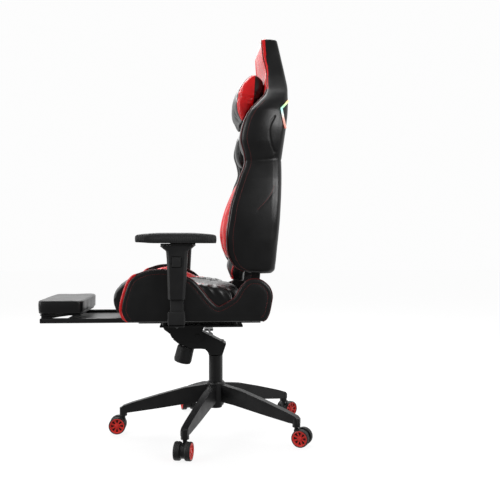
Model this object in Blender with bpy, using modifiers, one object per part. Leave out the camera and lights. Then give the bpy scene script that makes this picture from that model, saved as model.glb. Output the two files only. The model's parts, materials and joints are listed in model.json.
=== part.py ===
"""Reclining gaming chair on a five-leg caster base, with adjustable armrests and a slide-out footrest.

Metres, +Z up. The sitter faces -Y and has +X on the left hand. The column axis is X = 0, Y = COLUMN_Y,
and the origin is the floor point under the centre of the whole chair's box.
"""

from math import cos, pi, radians, sin

import bmesh
import bpy
from mathutils import Matrix, Vector

# ---------------------------------------------------------------- driving dimensions

GAP = 0.0003                # running gap between pieces that touch
COLUMN_Y = 0.1397           # the column stands this far behind the centre of the chair's box

COLUMN_RADIUS = 0.025       # standard 50 mm gas spring tube
COLUMN_TOP = 0.279
COLUMN_BOTTOM = 0.088
PISTON_RADIUS = 0.014
PISTON_TOP = 0.333
PISTON_BOTTOM = 0.092

LEG_COUNT = 5
LEG_REACH = 0.332           # column axis to caster stem
LEG_WIDTH = 0.024
HUB_RADIUS = 0.034
HUB_TOP = 0.182
HUB_BOTTOM = 0.098
STEM_RADIUS = 0.0055        # standard 11 mm caster stem
BOSS_RADIUS = 0.0135
BOSS_BOTTOM = 0.0625

WHEEL_RADIUS = 0.030        # 60 mm twin-wheel caster
WHEEL_WIDTH = 0.019
WHEEL_INNER = 0.0085        # half the gap between the two wheels
CASTER_TRAIL = 0.020
CASTER_HEADINGS = (-90, -13, 63, 128.5, -167)   # degrees from +X, the way each caster trails

SEAT_HALF = 0.265           # outside of the seat's side panels
PANEL_INNER = 0.238
FRAME_X = 0.170             # seat frame side tube
FRAME_Z = 0.447
FRAME_TUBE = 0.011
FRAME_FRONT = -0.250
FRAME_REAR = 0.128

HINGE_Y = 0.137             # recline axis
HINGE_Z = 0.534
HINGE_PLATE_X = 0.1820      # inner face of the seat's hinge plate
HINGE_PLATE = 0.0055
BACK_PLATE_X = 0.1885       # inner face of the back's hinge bracket
BACK_PLATE = 0.0050
HINGE_DISC = 0.025
SHAFT_RADIUS = 0.006

TILT_Y = -0.066             # rocking axis of the mechanism
TILT_Z = 0.352
KNOB_AXIS = Vector((0, 0.2426, 0.9701))
KNOB_SEAT = Vector((0, -0.1065, 0.3120))      # middle of the knob's upper rim
KNOB_LENGTH = 0.064
KNOB_FLOOR = 0.0575         # depth of the cup the spring stands in
KNOB_BOLT = 0.0040
SPRING_RADIUS = 0.0150      # middle of the spring's wire
SPRING_WIRE = 0.0025
LEVER_Y = -0.012            # height lever
LEVER_Z = 0.332

ARM_X = 0.302               # middle of an armrest
ARM_Y = -0.1275             # middle of an armrest's post

RAIL_X = 0.150              # footrest rail
RAIL_WIDTH = 0.016
RAIL_BOTTOM = 0.4135
RAIL_TOP = 0.4300
RAIL_FRONT = -0.591
RAIL_REAR = -0.225
FLIP_Y = -0.585             # axis the footrest pad flips about
FLIP_Z = 0.4220
SHEET = 0.0020              # steel sheet of the footrest's guides

# The back from bottom to top: height, half width, front edge of the side panel, rear face.
BACK_STATIONS = (
    (0.5825, 0.227, 0.140, 0.1940),
    (0.5885, 0.229, 0.090, 0.1950),
    (0.612, 0.234, 0.053, 0.1970),
    (0.661, 0.240, 0.034, 0.2010),
    (0.702, 0.245, 0.032, 0.2050),
    (0.760, 0.248, 0.039, 0.2100),
    (0.808, 0.246, 0.047, 0.2130),
    (0.845, 0.242, 0.058, 0.2150),
    (0.901, 0.234, 0.076, 0.2170),
    (0.951, 0.236, 0.092, 0.2160),
    (0.978, 0.240, 0.088, 0.2180),
    (1.025, 0.248, 0.077, 0.2240),
    (1.070, 0.252, 0.085, 0.2300),
    (1.114, 0.249, 0.105, 0.2350),
    (1.148, 0.238, 0.134, 0.2370),
    (1.176, 0.222, 0.158, 0.2370),
    (1.200, 0.204, 0.166, 0.2380),
    (1.259, 0.168, 0.168, 0.2320),
    (1.317, 0.147, 0.1585, 0.2220),
    (1.362, 0.136, 0.1545, 0.2130),
    (1.384, 0.124, 0.1600, 0.2040),
)
NECK_STATION = 15           # from here up the back is one thick pad
SIDE_WALL = 0.030
REAR_PAD = 0.045
FRAME_LAYER = 0.030         # room for the back's steel frame behind the front pads
BACK_CORNER = 0.030         # rear corners of the back, and of its head section
HEAD_CORNER = 0.014


# ---------------------------------------------------------------- scene, materials, bodies

def cleared_scene():
    for old in list(bpy.data.objects):
        bpy.data.objects.remove(old)


def new_collection(name):
    collection = bpy.data.collections.new(name)
    bpy.context.scene.collection.children.link(collection)
    return collection


cleared_scene()
CHAIR = new_collection("gaming_chair")
CONSTRUCTION = new_collection("construction")
CONSTRUCTION.hide_render = True

FINISHES = {                # colour, roughness, metallic
    "black_leather": ((0.018, 0.018, 0.019), 0.38, 0.0),
    "red_leather": ((0.42, 0.012, 0.014), 0.40, 0.0),
    "black_plastic": ((0.020, 0.020, 0.021), 0.42, 0.0),
    "soft_black_plastic": ((0.024, 0.024, 0.025), 0.60, 0.0),
    "tread": ((0.015, 0.015, 0.016), 0.55, 0.0),
    "black_steel": ((0.020, 0.020, 0.021), 0.45, 0.8),
    "bright_steel": ((0.60, 0.60, 0.60), 0.25, 1.0),
    "light_strip": ((0.30, 0.75, 0.45), 0.30, 0.0),
}


def material(name, finish):
    colour, roughness, metallic = FINISHES[finish]
    made = bpy.data.materials.new(name)
    made.use_nodes = True
    shader = made.node_tree.nodes["Principled BSDF"]
    shader.inputs["Base Color"].default_value = (*colour, 1.0)
    shader.inputs["Roughness"].default_value = roughness
    shader.inputs["Metallic"].default_value = metallic
    made.diffuse_color = (*colour, 1.0)
    return made


PLACES = {}                 # where each body's axis is, in chair coordinates


def body(name, location, parent):
    """An empty on a joint's axis, which the moving pieces hang from."""
    empty = bpy.data.objects.new(name, None)
    CHAIR.objects.link(empty)
    empty.empty_display_size = 0.03
    if parent is not None:
        empty.parent = parent
    inherited = PLACES[parent.name] if parent is not None else Vector()
    empty.location = Vector(location) - inherited
    PLACES[name] = Vector(location)
    return empty


def adopt(piece, parent, finish):
    """Hangs a finished piece, whose mesh is in chair coordinates, from its body and gives it its material."""
    shift = Matrix.Translation(-PLACES[parent.name])
    piece.data.transform(shift @ piece.matrix_basis)
    piece.matrix_basis = Matrix()
    piece.parent = parent
    piece.data.materials.clear()
    piece.data.materials.append(material(piece.name, finish))
    return piece


# ---------------------------------------------------------------- shape helpers

def object_from(bm, name):
    bmesh.ops.recalc_face_normals(bm, faces=bm.faces)
    mesh = bpy.data.meshes.new(name)
    bm.to_mesh(mesh)
    bm.free()
    piece = bpy.data.objects.new(name, mesh)
    CHAIR.objects.link(piece)
    return piece


def smooth(piece, angle=35):
    piece.data.shade_smooth()
    piece.data.set_sharp_from_angle(angle=radians(angle))
    return piece


def bevelled(piece, width, segments=2):
    tool = piece.modifiers.new("rounded_edges", "BEVEL")
    tool.width = width
    tool.segments = segments
    tool.limit_method = "ANGLE"
    tool.angle_limit = radians(40)
    return piece


def box(name, low, high):
    low, high = Vector(low), Vector(high)
    bm = bmesh.new()
    bmesh.ops.create_cube(bm, size=1.0)
    middle = Matrix.Translation((low + high) / 2)
    sides = high - low
    bmesh.ops.transform(bm, matrix=middle @ Matrix.Diagonal((*sides, 1.0)), verts=bm.verts)
    return object_from(bm, name)


def rod(name, start, end, radius, end_radius=None, segments=24):
    """A round bar, or a cone where end_radius differs, from start to end."""
    start, end = Vector(start), Vector(end)
    bm = bmesh.new()
    bmesh.ops.create_cone(
        bm, cap_ends=True, segments=segments, radius1=radius,
        radius2=radius if end_radius is None else end_radius, depth=(end - start).length,
    )
    turn = Vector((0, 0, 1)).rotation_difference(end - start).to_matrix().to_4x4()
    bmesh.ops.transform(bm, matrix=Matrix.Translation((start + end) / 2) @ turn, verts=bm.verts)
    return smooth(object_from(bm, name))


def plate(name, outline, x_low, x_high):
    """A flat (y, z) outline with straight sides, standing between two X planes."""
    curve = bpy.data.curves.new(name, "CURVE")
    curve.dimensions = "2D"
    curve.fill_mode = "BOTH"
    curve.extrude = (x_high - x_low) / 2
    spline = curve.splines.new("POLY")
    spline.points.add(len(outline) - 1)
    for point, (y, z) in zip(spline.points, outline):
        point.co = (y, z, 0, 1)
    spline.use_cyclic_u = True
    stand = Matrix(((0, 0, 1, (x_low + x_high) / 2), (1, 0, 0, 0), (0, 1, 0, 0), (0, 0, 0, 1)))
    return mesh_from_curve(curve, name, stand)


def tube(name, points, radius, cyclic=False, sides=2):
    """A round tube with filled ends through the points."""
    curve = bpy.data.curves.new(name, "CURVE")
    curve.dimensions = "3D"
    curve.bevel_depth = radius
    curve.bevel_resolution = sides
    curve.use_fill_caps = True
    spline = curve.splines.new("POLY")
    spline.points.add(len(points) - 1)
    for point, place in zip(spline.points, points):
        point.co = (*place, 1)
    spline.use_cyclic_u = cyclic
    return mesh_from_curve(curve, name, Matrix())


def mesh_from_curve(curve, name, placed):
    guide = bpy.data.objects.new(name + "_guide", curve)
    bpy.context.scene.collection.objects.link(guide)
    bpy.context.view_layer.update()
    graph = bpy.context.evaluated_depsgraph_get()
    mesh = bpy.data.meshes.new_from_object(guide.evaluated_get(graph))
    bpy.data.objects.remove(guide)
    bm = bmesh.new()
    bm.from_mesh(mesh)
    bpy.data.meshes.remove(mesh)
    bmesh.ops.remove_doubles(bm, verts=bm.verts, dist=1e-6)
    bmesh.ops.transform(bm, matrix=placed, verts=bm.verts)
    return smooth(object_from(bm, name))


def turned(name, profile, steps=32):
    """A (radius, z) profile, outer side from top to bottom, screwed round Z and left closed."""
    bm = bmesh.new()
    corners = [bm.verts.new((radius, 0, z)) for radius, z in profile]
    closed = profile[0][0] > 0
    for first, second in zip(corners, corners[1:] + corners[:1] if closed else corners[1:]):
        bm.edges.new((first, second))
    mesh = bpy.data.meshes.new(name)
    bm.to_mesh(mesh)
    bm.free()
    piece = bpy.data.objects.new(name, mesh)
    CHAIR.objects.link(piece)
    tool = piece.modifiers.new("turned", "SCREW")
    tool.steps = steps
    tool.render_steps = steps
    tool.use_merge_vertices = True
    tool.merge_threshold = 0.00005
    tool.use_smooth_shade = True
    return piece


def solid_copy(piece):
    """The piece with its modifiers applied, as a plain mesh object that replaces it."""
    bpy.context.view_layer.update()
    graph = bpy.context.evaluated_depsgraph_get()
    mesh = bpy.data.meshes.new_from_object(piece.evaluated_get(graph))
    bm = bmesh.new()
    bm.from_mesh(mesh)
    bpy.data.meshes.remove(mesh)
    bmesh.ops.remove_doubles(bm, verts=bm.verts, dist=1e-6)
    bmesh.ops.transform(bm, matrix=piece.matrix_basis, verts=bm.verts)
    label = piece.name
    for tool in piece.modifiers:
        if tool.type == "BOOLEAN":
            bpy.data.objects.remove(tool.object)
    bpy.data.objects.remove(piece)
    return smooth(object_from(bm, label))


def loft(name, rings, levels=0):
    """A closed skin through rings of points, each ring with the same number of points."""
    bm = bmesh.new()
    corners = [[bm.verts.new(point) for point in ring] for ring in rings]
    count = len(rings[0])
    for lower, upper in zip(corners, corners[1:]):
        for i in range(count):
            bm.faces.new((lower[i], lower[(i + 1) % count], upper[(i + 1) % count], upper[i]))
    bm.faces.new(corners[0])
    bm.faces.new(corners[-1])
    piece = smooth(object_from(bm, name), 50)
    if levels:
        tool = piece.modifiers.new("soft", "SUBSURF")
        tool.levels = levels
        tool.render_levels = levels
    return piece


def boolean(piece, other, operation):
    CHAIR.objects.unlink(other)
    CONSTRUCTION.objects.link(other)
    other.hide_render = True
    other.display_type = "WIRE"
    tool = piece.modifiers.new(operation.lower(), "BOOLEAN")
    tool.operation = operation
    tool.object = other
    tool.solver = "EXACT"


def joined(piece, *others):
    for other in others:
        boolean(piece, other, "UNION")
    return solid_copy(piece)


def cut(piece, *cutters):
    for cutter in cutters:
        boolean(piece, cutter, "DIFFERENCE")
    return solid_copy(piece)


def arc(centre, radius, start, end, steps):
    """Points of a circular arc in a plane, angles in degrees."""
    turn = [radians(start + (end - start) * i / steps) for i in range(steps + 1)]
    return [(centre[0] + radius * cos(a), centre[1] + radius * sin(a)) for a in turn]


def pillow_ring(place, half_a, half_b, fullness=0.62, count=12):
    """A rounded rectangle about the origin; place(a, b) puts each point in space."""
    ring = []
    for i in range(count):
        angle = 2 * pi * (i + 0.5) / count
        c, s = cos(angle), sin(angle)
        ring.append(place(half_a * abs(c) ** fullness * (1 if c > 0 else -1),
                          half_b * abs(s) ** fullness * (1 if s > 0 else -1)))
    return ring


def between(stations, height, column):
    """The value in a column of a station table, at a height between its rows."""
    if height <= stations[0][0]:
        return stations[0][column]
    for lower, upper in zip(stations, stations[1:]):
        if height <= upper[0]:
            share = (height - lower[0]) / (upper[0] - lower[0])
            return lower[column] + share * (upper[column] - lower[column])
    return stations[-1][column]


def mirrored(points, side):
    return [(side * x, y, z) for x, y, z in points]


SIDES = (("left", 1), ("right", -1))


# ---------------------------------------------------------------- base, casters, gas spring

def base_star(parent):
    hub = turned("base_star", (
        (HUB_RADIUS - 0.004, HUB_TOP), (HUB_RADIUS - 0.001, HUB_TOP - 0.004),
        (HUB_RADIUS, 0.120), (HUB_RADIUS - 0.005, HUB_BOTTOM),
        (COLUMN_RADIUS + GAP, HUB_BOTTOM), (COLUMN_RADIUS + GAP, HUB_TOP),
    ))
    hub = solid_copy(hub)
    legs = []
    for i in range(LEG_COUNT):
        heading = Matrix.Rotation(radians(-90 + 72 * i), 4, "Z")
        outline = [(0.0285, 0.174), (0.110, 0.162), (0.206, 0.137), (0.300, 0.110), (0.333, 0.0985),
                   (LEG_REACH + 0.0095, 0.090), (LEG_REACH + 0.0095, 0.074), (0.312, 0.0745),
                   (0.206, 0.0885), (0.085, 0.1065), (0.0285, 0.112)]
        leg = plate(f"leg_{i}", outline, -LEG_WIDTH / 2, LEG_WIDTH / 2)
        leg.data.transform(Matrix.Rotation(radians(-90), 4, "Z"))
        boss = rod(f"leg_boss_{i}", (LEG_REACH, 0, BOSS_BOTTOM), (LEG_REACH, 0, 0.092), BOSS_RADIUS)
        for piece in (leg, boss):
            piece.data.transform(heading)
            legs.append(piece)
    star = joined(hub, *legs)
    bores = []
    for i in range(LEG_COUNT):
        bore = rod(f"stem_bore_{i}", (LEG_REACH, 0, BOSS_BOTTOM - 0.01), (LEG_REACH, 0, 0.0895),
                   STEM_RADIUS + GAP, segments=16)
        bore.data.transform(Matrix.Rotation(radians(-90 + 72 * i), 4, "Z"))
        bores.append(bore)
    adopt(cut(star, *bores), parent, "black_plastic")


def gas_spring(base, lift):
    tube_wall = turned("gas_spring_tube", (
        (COLUMN_RADIUS - 0.002, COLUMN_TOP), (COLUMN_RADIUS, COLUMN_TOP - 0.002),
        (COLUMN_RADIUS, COLUMN_BOTTOM + 0.008), (COLUMN_RADIUS - 0.003, COLUMN_BOTTOM),
        (PISTON_RADIUS + GAP, COLUMN_BOTTOM), (PISTON_RADIUS + GAP, COLUMN_TOP),
    ))
    adopt(solid_copy(tube_wall), base, "black_steel")
    piston = turned("gas_spring_piston", (
        (0, PISTON_TOP), (PISTON_RADIUS - 0.002, PISTON_TOP), (PISTON_RADIUS, 0.300),
        (PISTON_RADIUS, PISTON_BOTTOM), (0, PISTON_BOTTOM),
    ))
    adopt(solid_copy(piston), lift, "bright_steel")


def caster(index, heading, base):
    leg = radians(-90 + 72 * index)
    stem = Vector((LEG_REACH * cos(leg), LEG_REACH * sin(leg), 0))
    swivel = body(f"caster_{index + 1}_swivel", (stem.x, stem.y, BOSS_BOTTOM), base)
    trail = Vector((cos(radians(heading)), sin(radians(heading)), 0))
    turn = Matrix.Translation(stem) @ Matrix.Rotation(radians(heading), 4, "Z")
    axle_place = stem + trail * CASTER_TRAIL + Vector((0, 0, WHEEL_RADIUS))
    axle = body(f"caster_{index + 1}_axle", axle_place, swivel)
    web_half = WHEEL_INNER - 0.0012
    centre = (CASTER_TRAIL, WHEEL_RADIUS)
    web_outline = [(CASTER_TRAIL - 0.019, 0.0150)] + arc(centre, 0.0235, -120, 128, 16) + [
        (-0.0065, 0.0545), (-0.0070, 0.036)]
    web = plate(f"caster_{index + 1}_fork", web_outline, -web_half, web_half)
    web.data.transform(Matrix.Rotation(radians(-90), 4, "Z"))
    stem_rod = rod("stem", (0, 0, 0.040), (0, 0, 0.0885), STEM_RADIUS, segments=16)
    collar = rod("collar", (0, 0, 0.046), (0, 0, BOSS_BOTTOM - 0.001), 0.0072, segments=16)
    pin = rod("pin", (CASTER_TRAIL, -0.0255, WHEEL_RADIUS), (CASTER_TRAIL, 0.0255, WHEEL_RADIUS), 0.004,
              segments=16)
    fork = joined(web, stem_rod, collar, pin)
    fork.data.transform(turn)
    adopt(fork, swivel, "black_plastic")
    half = WHEEL_WIDTH / 2
    steps = 24
    rim = WHEEL_RADIUS / cos(pi / steps)          # the flats of the tread, not its corners, touch the floor
    for name, side in (("inner", -1), ("outer", 1)):
        wheel = solid_copy(turned(f"caster_{index + 1}_wheel_{name}", (
            (0.0270, half), (rim, half - 0.004), (rim, 0.004 - half), (0.0270, -half),
            (0.0046, -half), (0.0046, half),
        ), steps=steps))
        wheel.data.transform(Matrix.Rotation(pi / steps, 4, "Z"))
        flip = Matrix.Rotation(radians(-90 * side), 4, "X")
        place = Matrix.Translation((CASTER_TRAIL, side * (WHEEL_INNER + half), WHEEL_RADIUS))
        wheel.data.transform(turn @ place @ flip)
        adopt(wheel, axle, "tread")


# ---------------------------------------------------------------- tilt mechanism

def mechanism(mechanism_body, seat):
    side = 0.031
    outline = [(0.024, 0.2815), (0.037, 0.321), (-0.017, 0.350), (-0.046, 0.364)]
    outline += arc((TILT_Y, TILT_Z), 0.020, 50, 120, 4)
    outline += [(-0.096, 0.352), (-0.150, 0.350), (-0.152, 0.338), (-0.134, 0.3235), (-0.081, 0.304),
                (-0.054, 0.304), (-0.038, 0.302), (-0.029, 0.292), (-0.025, 0.2815)]
    arm = plate("mechanism_housing", outline, -side, side)
    collar = rod("collar", (0, 0, 0.2815), (0, 0, 0.3315), 0.0265, 0.031)
    arm = joined(arm, collar)
    arm = cut(
        arm,
        rod("piston_socket", (0, 0, 0.27), (0, 0, PISTON_TOP + 0.0005), PISTON_RADIUS + GAP),
        rod("bolt_hole", KNOB_SEAT - KNOB_AXIS * 0.04, KNOB_SEAT + KNOB_AXIS * 0.06, KNOB_BOLT + GAP, segments=16),
    )
    pin = rod("pivot_pin", (-0.0445, TILT_Y, TILT_Z), (0.0445, TILT_Y, TILT_Z), 0.006, segments=16)
    adopt(joined(arm, pin), mechanism_body, "black_steel")

    cheek_in, cheek_out = 0.0335, 0.0385
    cheek = [(-0.190, 0.404), (-0.188, 0.383), (-0.183, 0.374), (-0.163, 0.359), (-0.157, 0.346),
             (-0.134, 0.331), (-0.075, 0.331)]
    cheek += arc((TILT_Y, TILT_Z), 0.022, -75, 40, 6) + [(-0.042, 0.382), (-0.040, 0.404)]
    pan = box("mechanism_top_plate", (-0.186, -0.190, 0.400), (0.186, 0.088, 0.406))
    pieces = [plate(f"cheek_{n}", cheek, min(s * cheek_in, s * cheek_out), max(s * cheek_in, s * cheek_out))
              for n, s in SIDES]
    pieces.append(plate("front_wall", [(-0.190, 0.404), (-0.188, 0.383), (-0.184, 0.376), (-0.180, 0.380),
                                       (-0.184, 0.404)], -0.036, 0.036))
    for x in (-0.1745, 0.1745):
        for y in (-0.175, 0.062):
            top = FRAME_Z - FRAME_TUBE - GAP
            pieces.append(rod("spacer", (x, y, 0.403), (x, y, top), 0.008, segments=12))
    pan = joined(pan, *pieces)
    pan = cut(
        pan,
        rod("pivot_bore", (-0.06, TILT_Y, TILT_Z), (0.06, TILT_Y, TILT_Z), 0.0063, segments=16),
        box("rear_opening", (-0.030, -0.045, 0.39), (0.030, 0.050, 0.42)),
    )
    adopt(pan, seat, "black_steel")


def tension(knob_body):
    """The knob is a cup round the tilt spring; its bolt screws into the nose of the housing."""
    cup = solid_copy(turned("tension_knob", (
        (0.0280, -0.002), (0.0305, -0.006), (0.0320, -0.052), (0.0290, 0.003 - KNOB_LENGTH),
        (0.0215, -KNOB_LENGTH), (0, -KNOB_LENGTH), (0, -KNOB_FLOOR), (0.0245, -KNOB_FLOOR), (0.0245, -0.002),
    ), steps=28))
    bolt = rod("bolt", (0, 0, -KNOB_FLOOR - 0.003), (0, 0, 0.0300), KNOB_BOLT, segments=16)
    cup = joined(cup, bolt)
    turn = Vector((0, 0, 1)).rotation_difference(KNOB_AXIS).to_matrix().to_4x4()
    placed = Matrix.Translation(KNOB_SEAT) @ turn
    cup.data.transform(placed)
    adopt(cup, knob_body, "soft_black_plastic")
    turns, per_turn = 5, 10
    low, high = SPRING_WIRE + 0.001 - KNOB_FLOOR, -0.0035
    points = []
    for i in range(turns * per_turn + 1):
        angle = 2 * pi * i / per_turn
        points.append((SPRING_RADIUS * cos(angle), SPRING_RADIUS * sin(angle),
                       low + (high - low) * i / (turns * per_turn)))
    spring = tube("tension_spring", points, SPRING_WIRE, sides=1)
    spring.data.transform(placed)
    adopt(spring, knob_body, "bright_steel")


def height_lever(lever_body):
    reach, y, z = -0.290, LEVER_Y, LEVER_Z
    bar = tube("height_lever", [(-0.0325, y, z), (-0.150, y, z), (-0.190, y - 0.008, z + 0.002),
                                (-0.262, y - 0.012, z + 0.006)], 0.0045)
    paddle = box("paddle", (reach, y - 0.030, z + 0.0015), (reach + 0.055, y + 0.006, z + 0.0095))
    bevelled(paddle, 0.003)
    adopt(joined(bar, solid_copy(paddle)), lever_body, "soft_black_plastic")


# ---------------------------------------------------------------- seat

def seat_frame(seat):
    x, z = FRAME_X, FRAME_Z
    corner = 0.03
    loop = []
    for cx, cy, start in ((x, FRAME_FRONT, -90), (x, FRAME_REAR, 0), (-x, FRAME_REAR, 90), (-x, FRAME_FRONT, 180)):
        inner = (cx - corner * (1 if cx > 0 else -1), cy - corner * (1 if cy > 0 else -1))
        loop += [(px, py, z) for px, py in arc(inner, corner, start, start + 90, 4)]
    ring = tube("seat_frame", loop, FRAME_TUBE, cyclic=True, sides=2)
    slats = [box(f"slat_{i}", (-x, y - 0.014, z - 0.003), (x, y + 0.014, z + 0.001))
             for i, y in enumerate((-0.175, -0.10, -0.025, 0.062))]
    adopt(joined(ring, *slats), seat, "black_steel")


SEAT_PANEL = (                                # side panel outline, from the front foot round to the rear foot
    (-0.288, 0.4265), (-0.298, 0.438), (-0.307, 0.460), (-0.307, 0.481), (-0.302, 0.505), (-0.294, 0.532),
    (-0.282, 0.560), (-0.262, 0.579), (-0.222, 0.594), (-0.163, 0.597), (-0.125, 0.587), (-0.092, 0.571),
    (-0.070, 0.555), (-0.047, 0.528), (-0.024, 0.499), (0.002, 0.477), (0.020, 0.482), (0.041, 0.494),
    (0.058, 0.507), (0.074, 0.534), (0.089, 0.552), (0.104, 0.563), (0.121, 0.566), (0.142, 0.563),
    (0.162, 0.550), (0.175, 0.533), (0.181, 0.510), (0.177, 0.481), (0.171, 0.454), (0.162, 0.435),
    (0.150, 0.4265),
)


def seat_bolster(name, side, seat):
    """Side panel, with the raised bolster along its inner side. The rear wing covers the recline hinge."""
    def span(inner, outer):
        return (min(side * inner, side * outer), max(side * inner, side * outer))

    panel = plate(f"seat_bolster_{name}", SEAT_PANEL, *span(PANEL_INNER, SEAT_HALF))
    crest = [(-0.292, 0.452), (-0.300, 0.497), (-0.288, 0.540), (-0.262, 0.566), (-0.239, 0.578), (-0.201, 0.592),
             (-0.163, 0.595), (-0.125, 0.580), (-0.097, 0.567), (-0.070, 0.556), (-0.024, 0.549),
             (0.030, 0.538), (0.046, 0.515), (0.046, 0.4265), (-0.270, 0.4265)]
    crest_side = plate("crest", crest, *span(0.1835, PANEL_INNER + 0.010))
    top = [(-0.286, 0.466), (-0.292, 0.497), (-0.282, 0.537), (-0.258, 0.562), (-0.201, 0.585), (-0.163, 0.588),
           (-0.125, 0.573), (-0.070, 0.550), (-0.024, 0.543), (0.030, 0.532), (0.042, 0.512), (0.042, 0.462),
           (-0.262, 0.462)]
    crest_top = plate("crest_top", top, *span(0.166, 0.190))
    bolster = joined(panel, crest_side, crest_top)
    if side < 0:
        lever_way = rod("lever_way", (-0.22, HINGE_Y, HINGE_Z), (-0.28, HINGE_Y, HINGE_Z), 0.0075, segments=16)
        bolster = cut(bolster, lever_way)
    adopt(bolster, seat, "black_leather")


def seat_cushion(seat):
    outline = [(-0.275, 0.4385), (-0.335, 0.4400), (-0.347, 0.450), (-0.354, 0.475), (-0.357, 0.493),
               (-0.354, 0.510), (-0.343, 0.531), (-0.318, 0.554), (-0.285, 0.570), (-0.230, 0.573),
               (-0.140, 0.560), (-0.050, 0.545), (0.030, 0.536), (0.072, 0.528), (0.080, 0.510),
               (0.080, 0.4615), (-0.262, 0.4615), (-0.270, 0.452)]
    cushion = plate("seat_cushion", outline, -0.165, 0.165)
    adopt(cushion, seat, "black_leather")


# ---------------------------------------------------------------- recline hinge

def recline_hinge(seat, back, lever):
    shaft = rod("recline_shaft", (-0.1975, HINGE_Y, HINGE_Z), (0.1975, HINGE_Y, HINGE_Z), SHAFT_RADIUS,
                segments=20)
    adopt(shaft, back, "bright_steel")
    for name, side in SIDES:
        low, high = sorted((side * HINGE_PLATE_X, side * (HINGE_PLATE_X + HINGE_PLATE)))
        outline = arc((HINGE_Y, HINGE_Z), HINGE_DISC, 0, 180, 12) + [
            (HINGE_Y - HINGE_DISC, 0.500), (0.052, 0.462), (0.052, 0.4385), (0.122, 0.4385), (0.150, 0.470)]
        fixed = plate(f"hinge_plate_{name}", outline, low, high)
        bore = rod("bore", (low - 0.01, HINGE_Y, HINGE_Z), (high + 0.01, HINGE_Y, HINGE_Z),
                   SHAFT_RADIUS + GAP, segments=20)
        adopt(cut(fixed, bore), seat, "black_steel")

        low, high = sorted((side * BACK_PLATE_X, side * (BACK_PLATE_X + BACK_PLATE)))
        outline = arc((HINGE_Y, HINGE_Z), HINGE_DISC, 180, 360, 12) + [
            (0.1450, 0.560), (0.1490, 0.620), (0.1550, 0.680), (0.1290, 0.680), (0.1220, 0.620), (0.1140, 0.560)]
        moving = plate(f"back_bracket_{name}", outline, low, high)
        bore = rod("bore", (low - 0.01, HINGE_Y, HINGE_Z), (high + 0.01, HINGE_Y, HINGE_Z),
                   SHAFT_RADIUS + GAP, segments=20)
        adopt(cut(moving, bore), back, "black_steel")

    stub = rod("recline_lever", (-0.1985, HINGE_Y, HINGE_Z), (-0.2745, HINGE_Y, HINGE_Z), 0.0060, segments=16)
    grip_outline = arc((HINGE_Y, HINGE_Z), 0.019, -60, 100, 8) + [
        (0.100, 0.5420), (0.040, 0.5200), (0.022, 0.5150), (0.016, 0.5050), (0.026, 0.4980), (0.100, 0.5160)]
    grip = plate("grip", grip_outline, -0.2800, -0.2665)
    adopt(joined(stub, solid_copy(bevelled(grip, 0.003))), lever, "soft_black_plastic")


# ---------------------------------------------------------------- back

def back_shell(back):
    """Rear pad with side walls and the thick head section: the tray that the front pads lie in."""
    rings = []
    for i, (z, half, front, rear) in enumerate(BACK_STATIONS):
        inner = half - SIDE_WALL
        recess = rear - REAR_PAD if i < NECK_STATION else front + 0.002
        recess = max(recess, front + 0.002)
        corner = BACK_CORNER if i < NECK_STATION else HEAD_CORNER
        left = [(-inner, front), (-half + 0.004, front), (-half, front + 0.006), (-half, rear - corner),
                (-half + 0.3 * corner, rear - 0.3 * corner), (-half + corner, rear)]
        right = [(-x, y) for x, y in reversed(left)]
        ring = left + [(0, rear + 0.004)] + right + [(inner, recess), (-inner, recess)]
        rings.append([(x, y, z) for x, y in ring])
    adopt(loft("back_shell", rings), back, "black_leather")


def back_frame(back):
    """Bent steel tube inside the back, with two cross tubes."""
    x = 0.174

    def layer(z):
        return between(BACK_STATIONS, z, 3) - REAR_PAD - FRAME_LAYER / 2

    side = [(x, layer(z), z) for z in (0.592, 0.660, 0.760, 0.860, 0.950, 1.040, 1.095)]
    top = [(0.165, layer(1.12), 1.122), (0.140, layer(1.14), 1.140)]
    points = side + top + mirrored(reversed(top), -1) + mirrored(reversed(side), -1)
    loop = tube("back_frame", points, 0.010, sides=2)
    bars = [rod("bar", (-x, layer(z), z), (x, layer(z), z), 0.007, segments=12) for z in (0.640, 0.900)]
    adopt(joined(loop, *bars), back, "black_steel")


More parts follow.
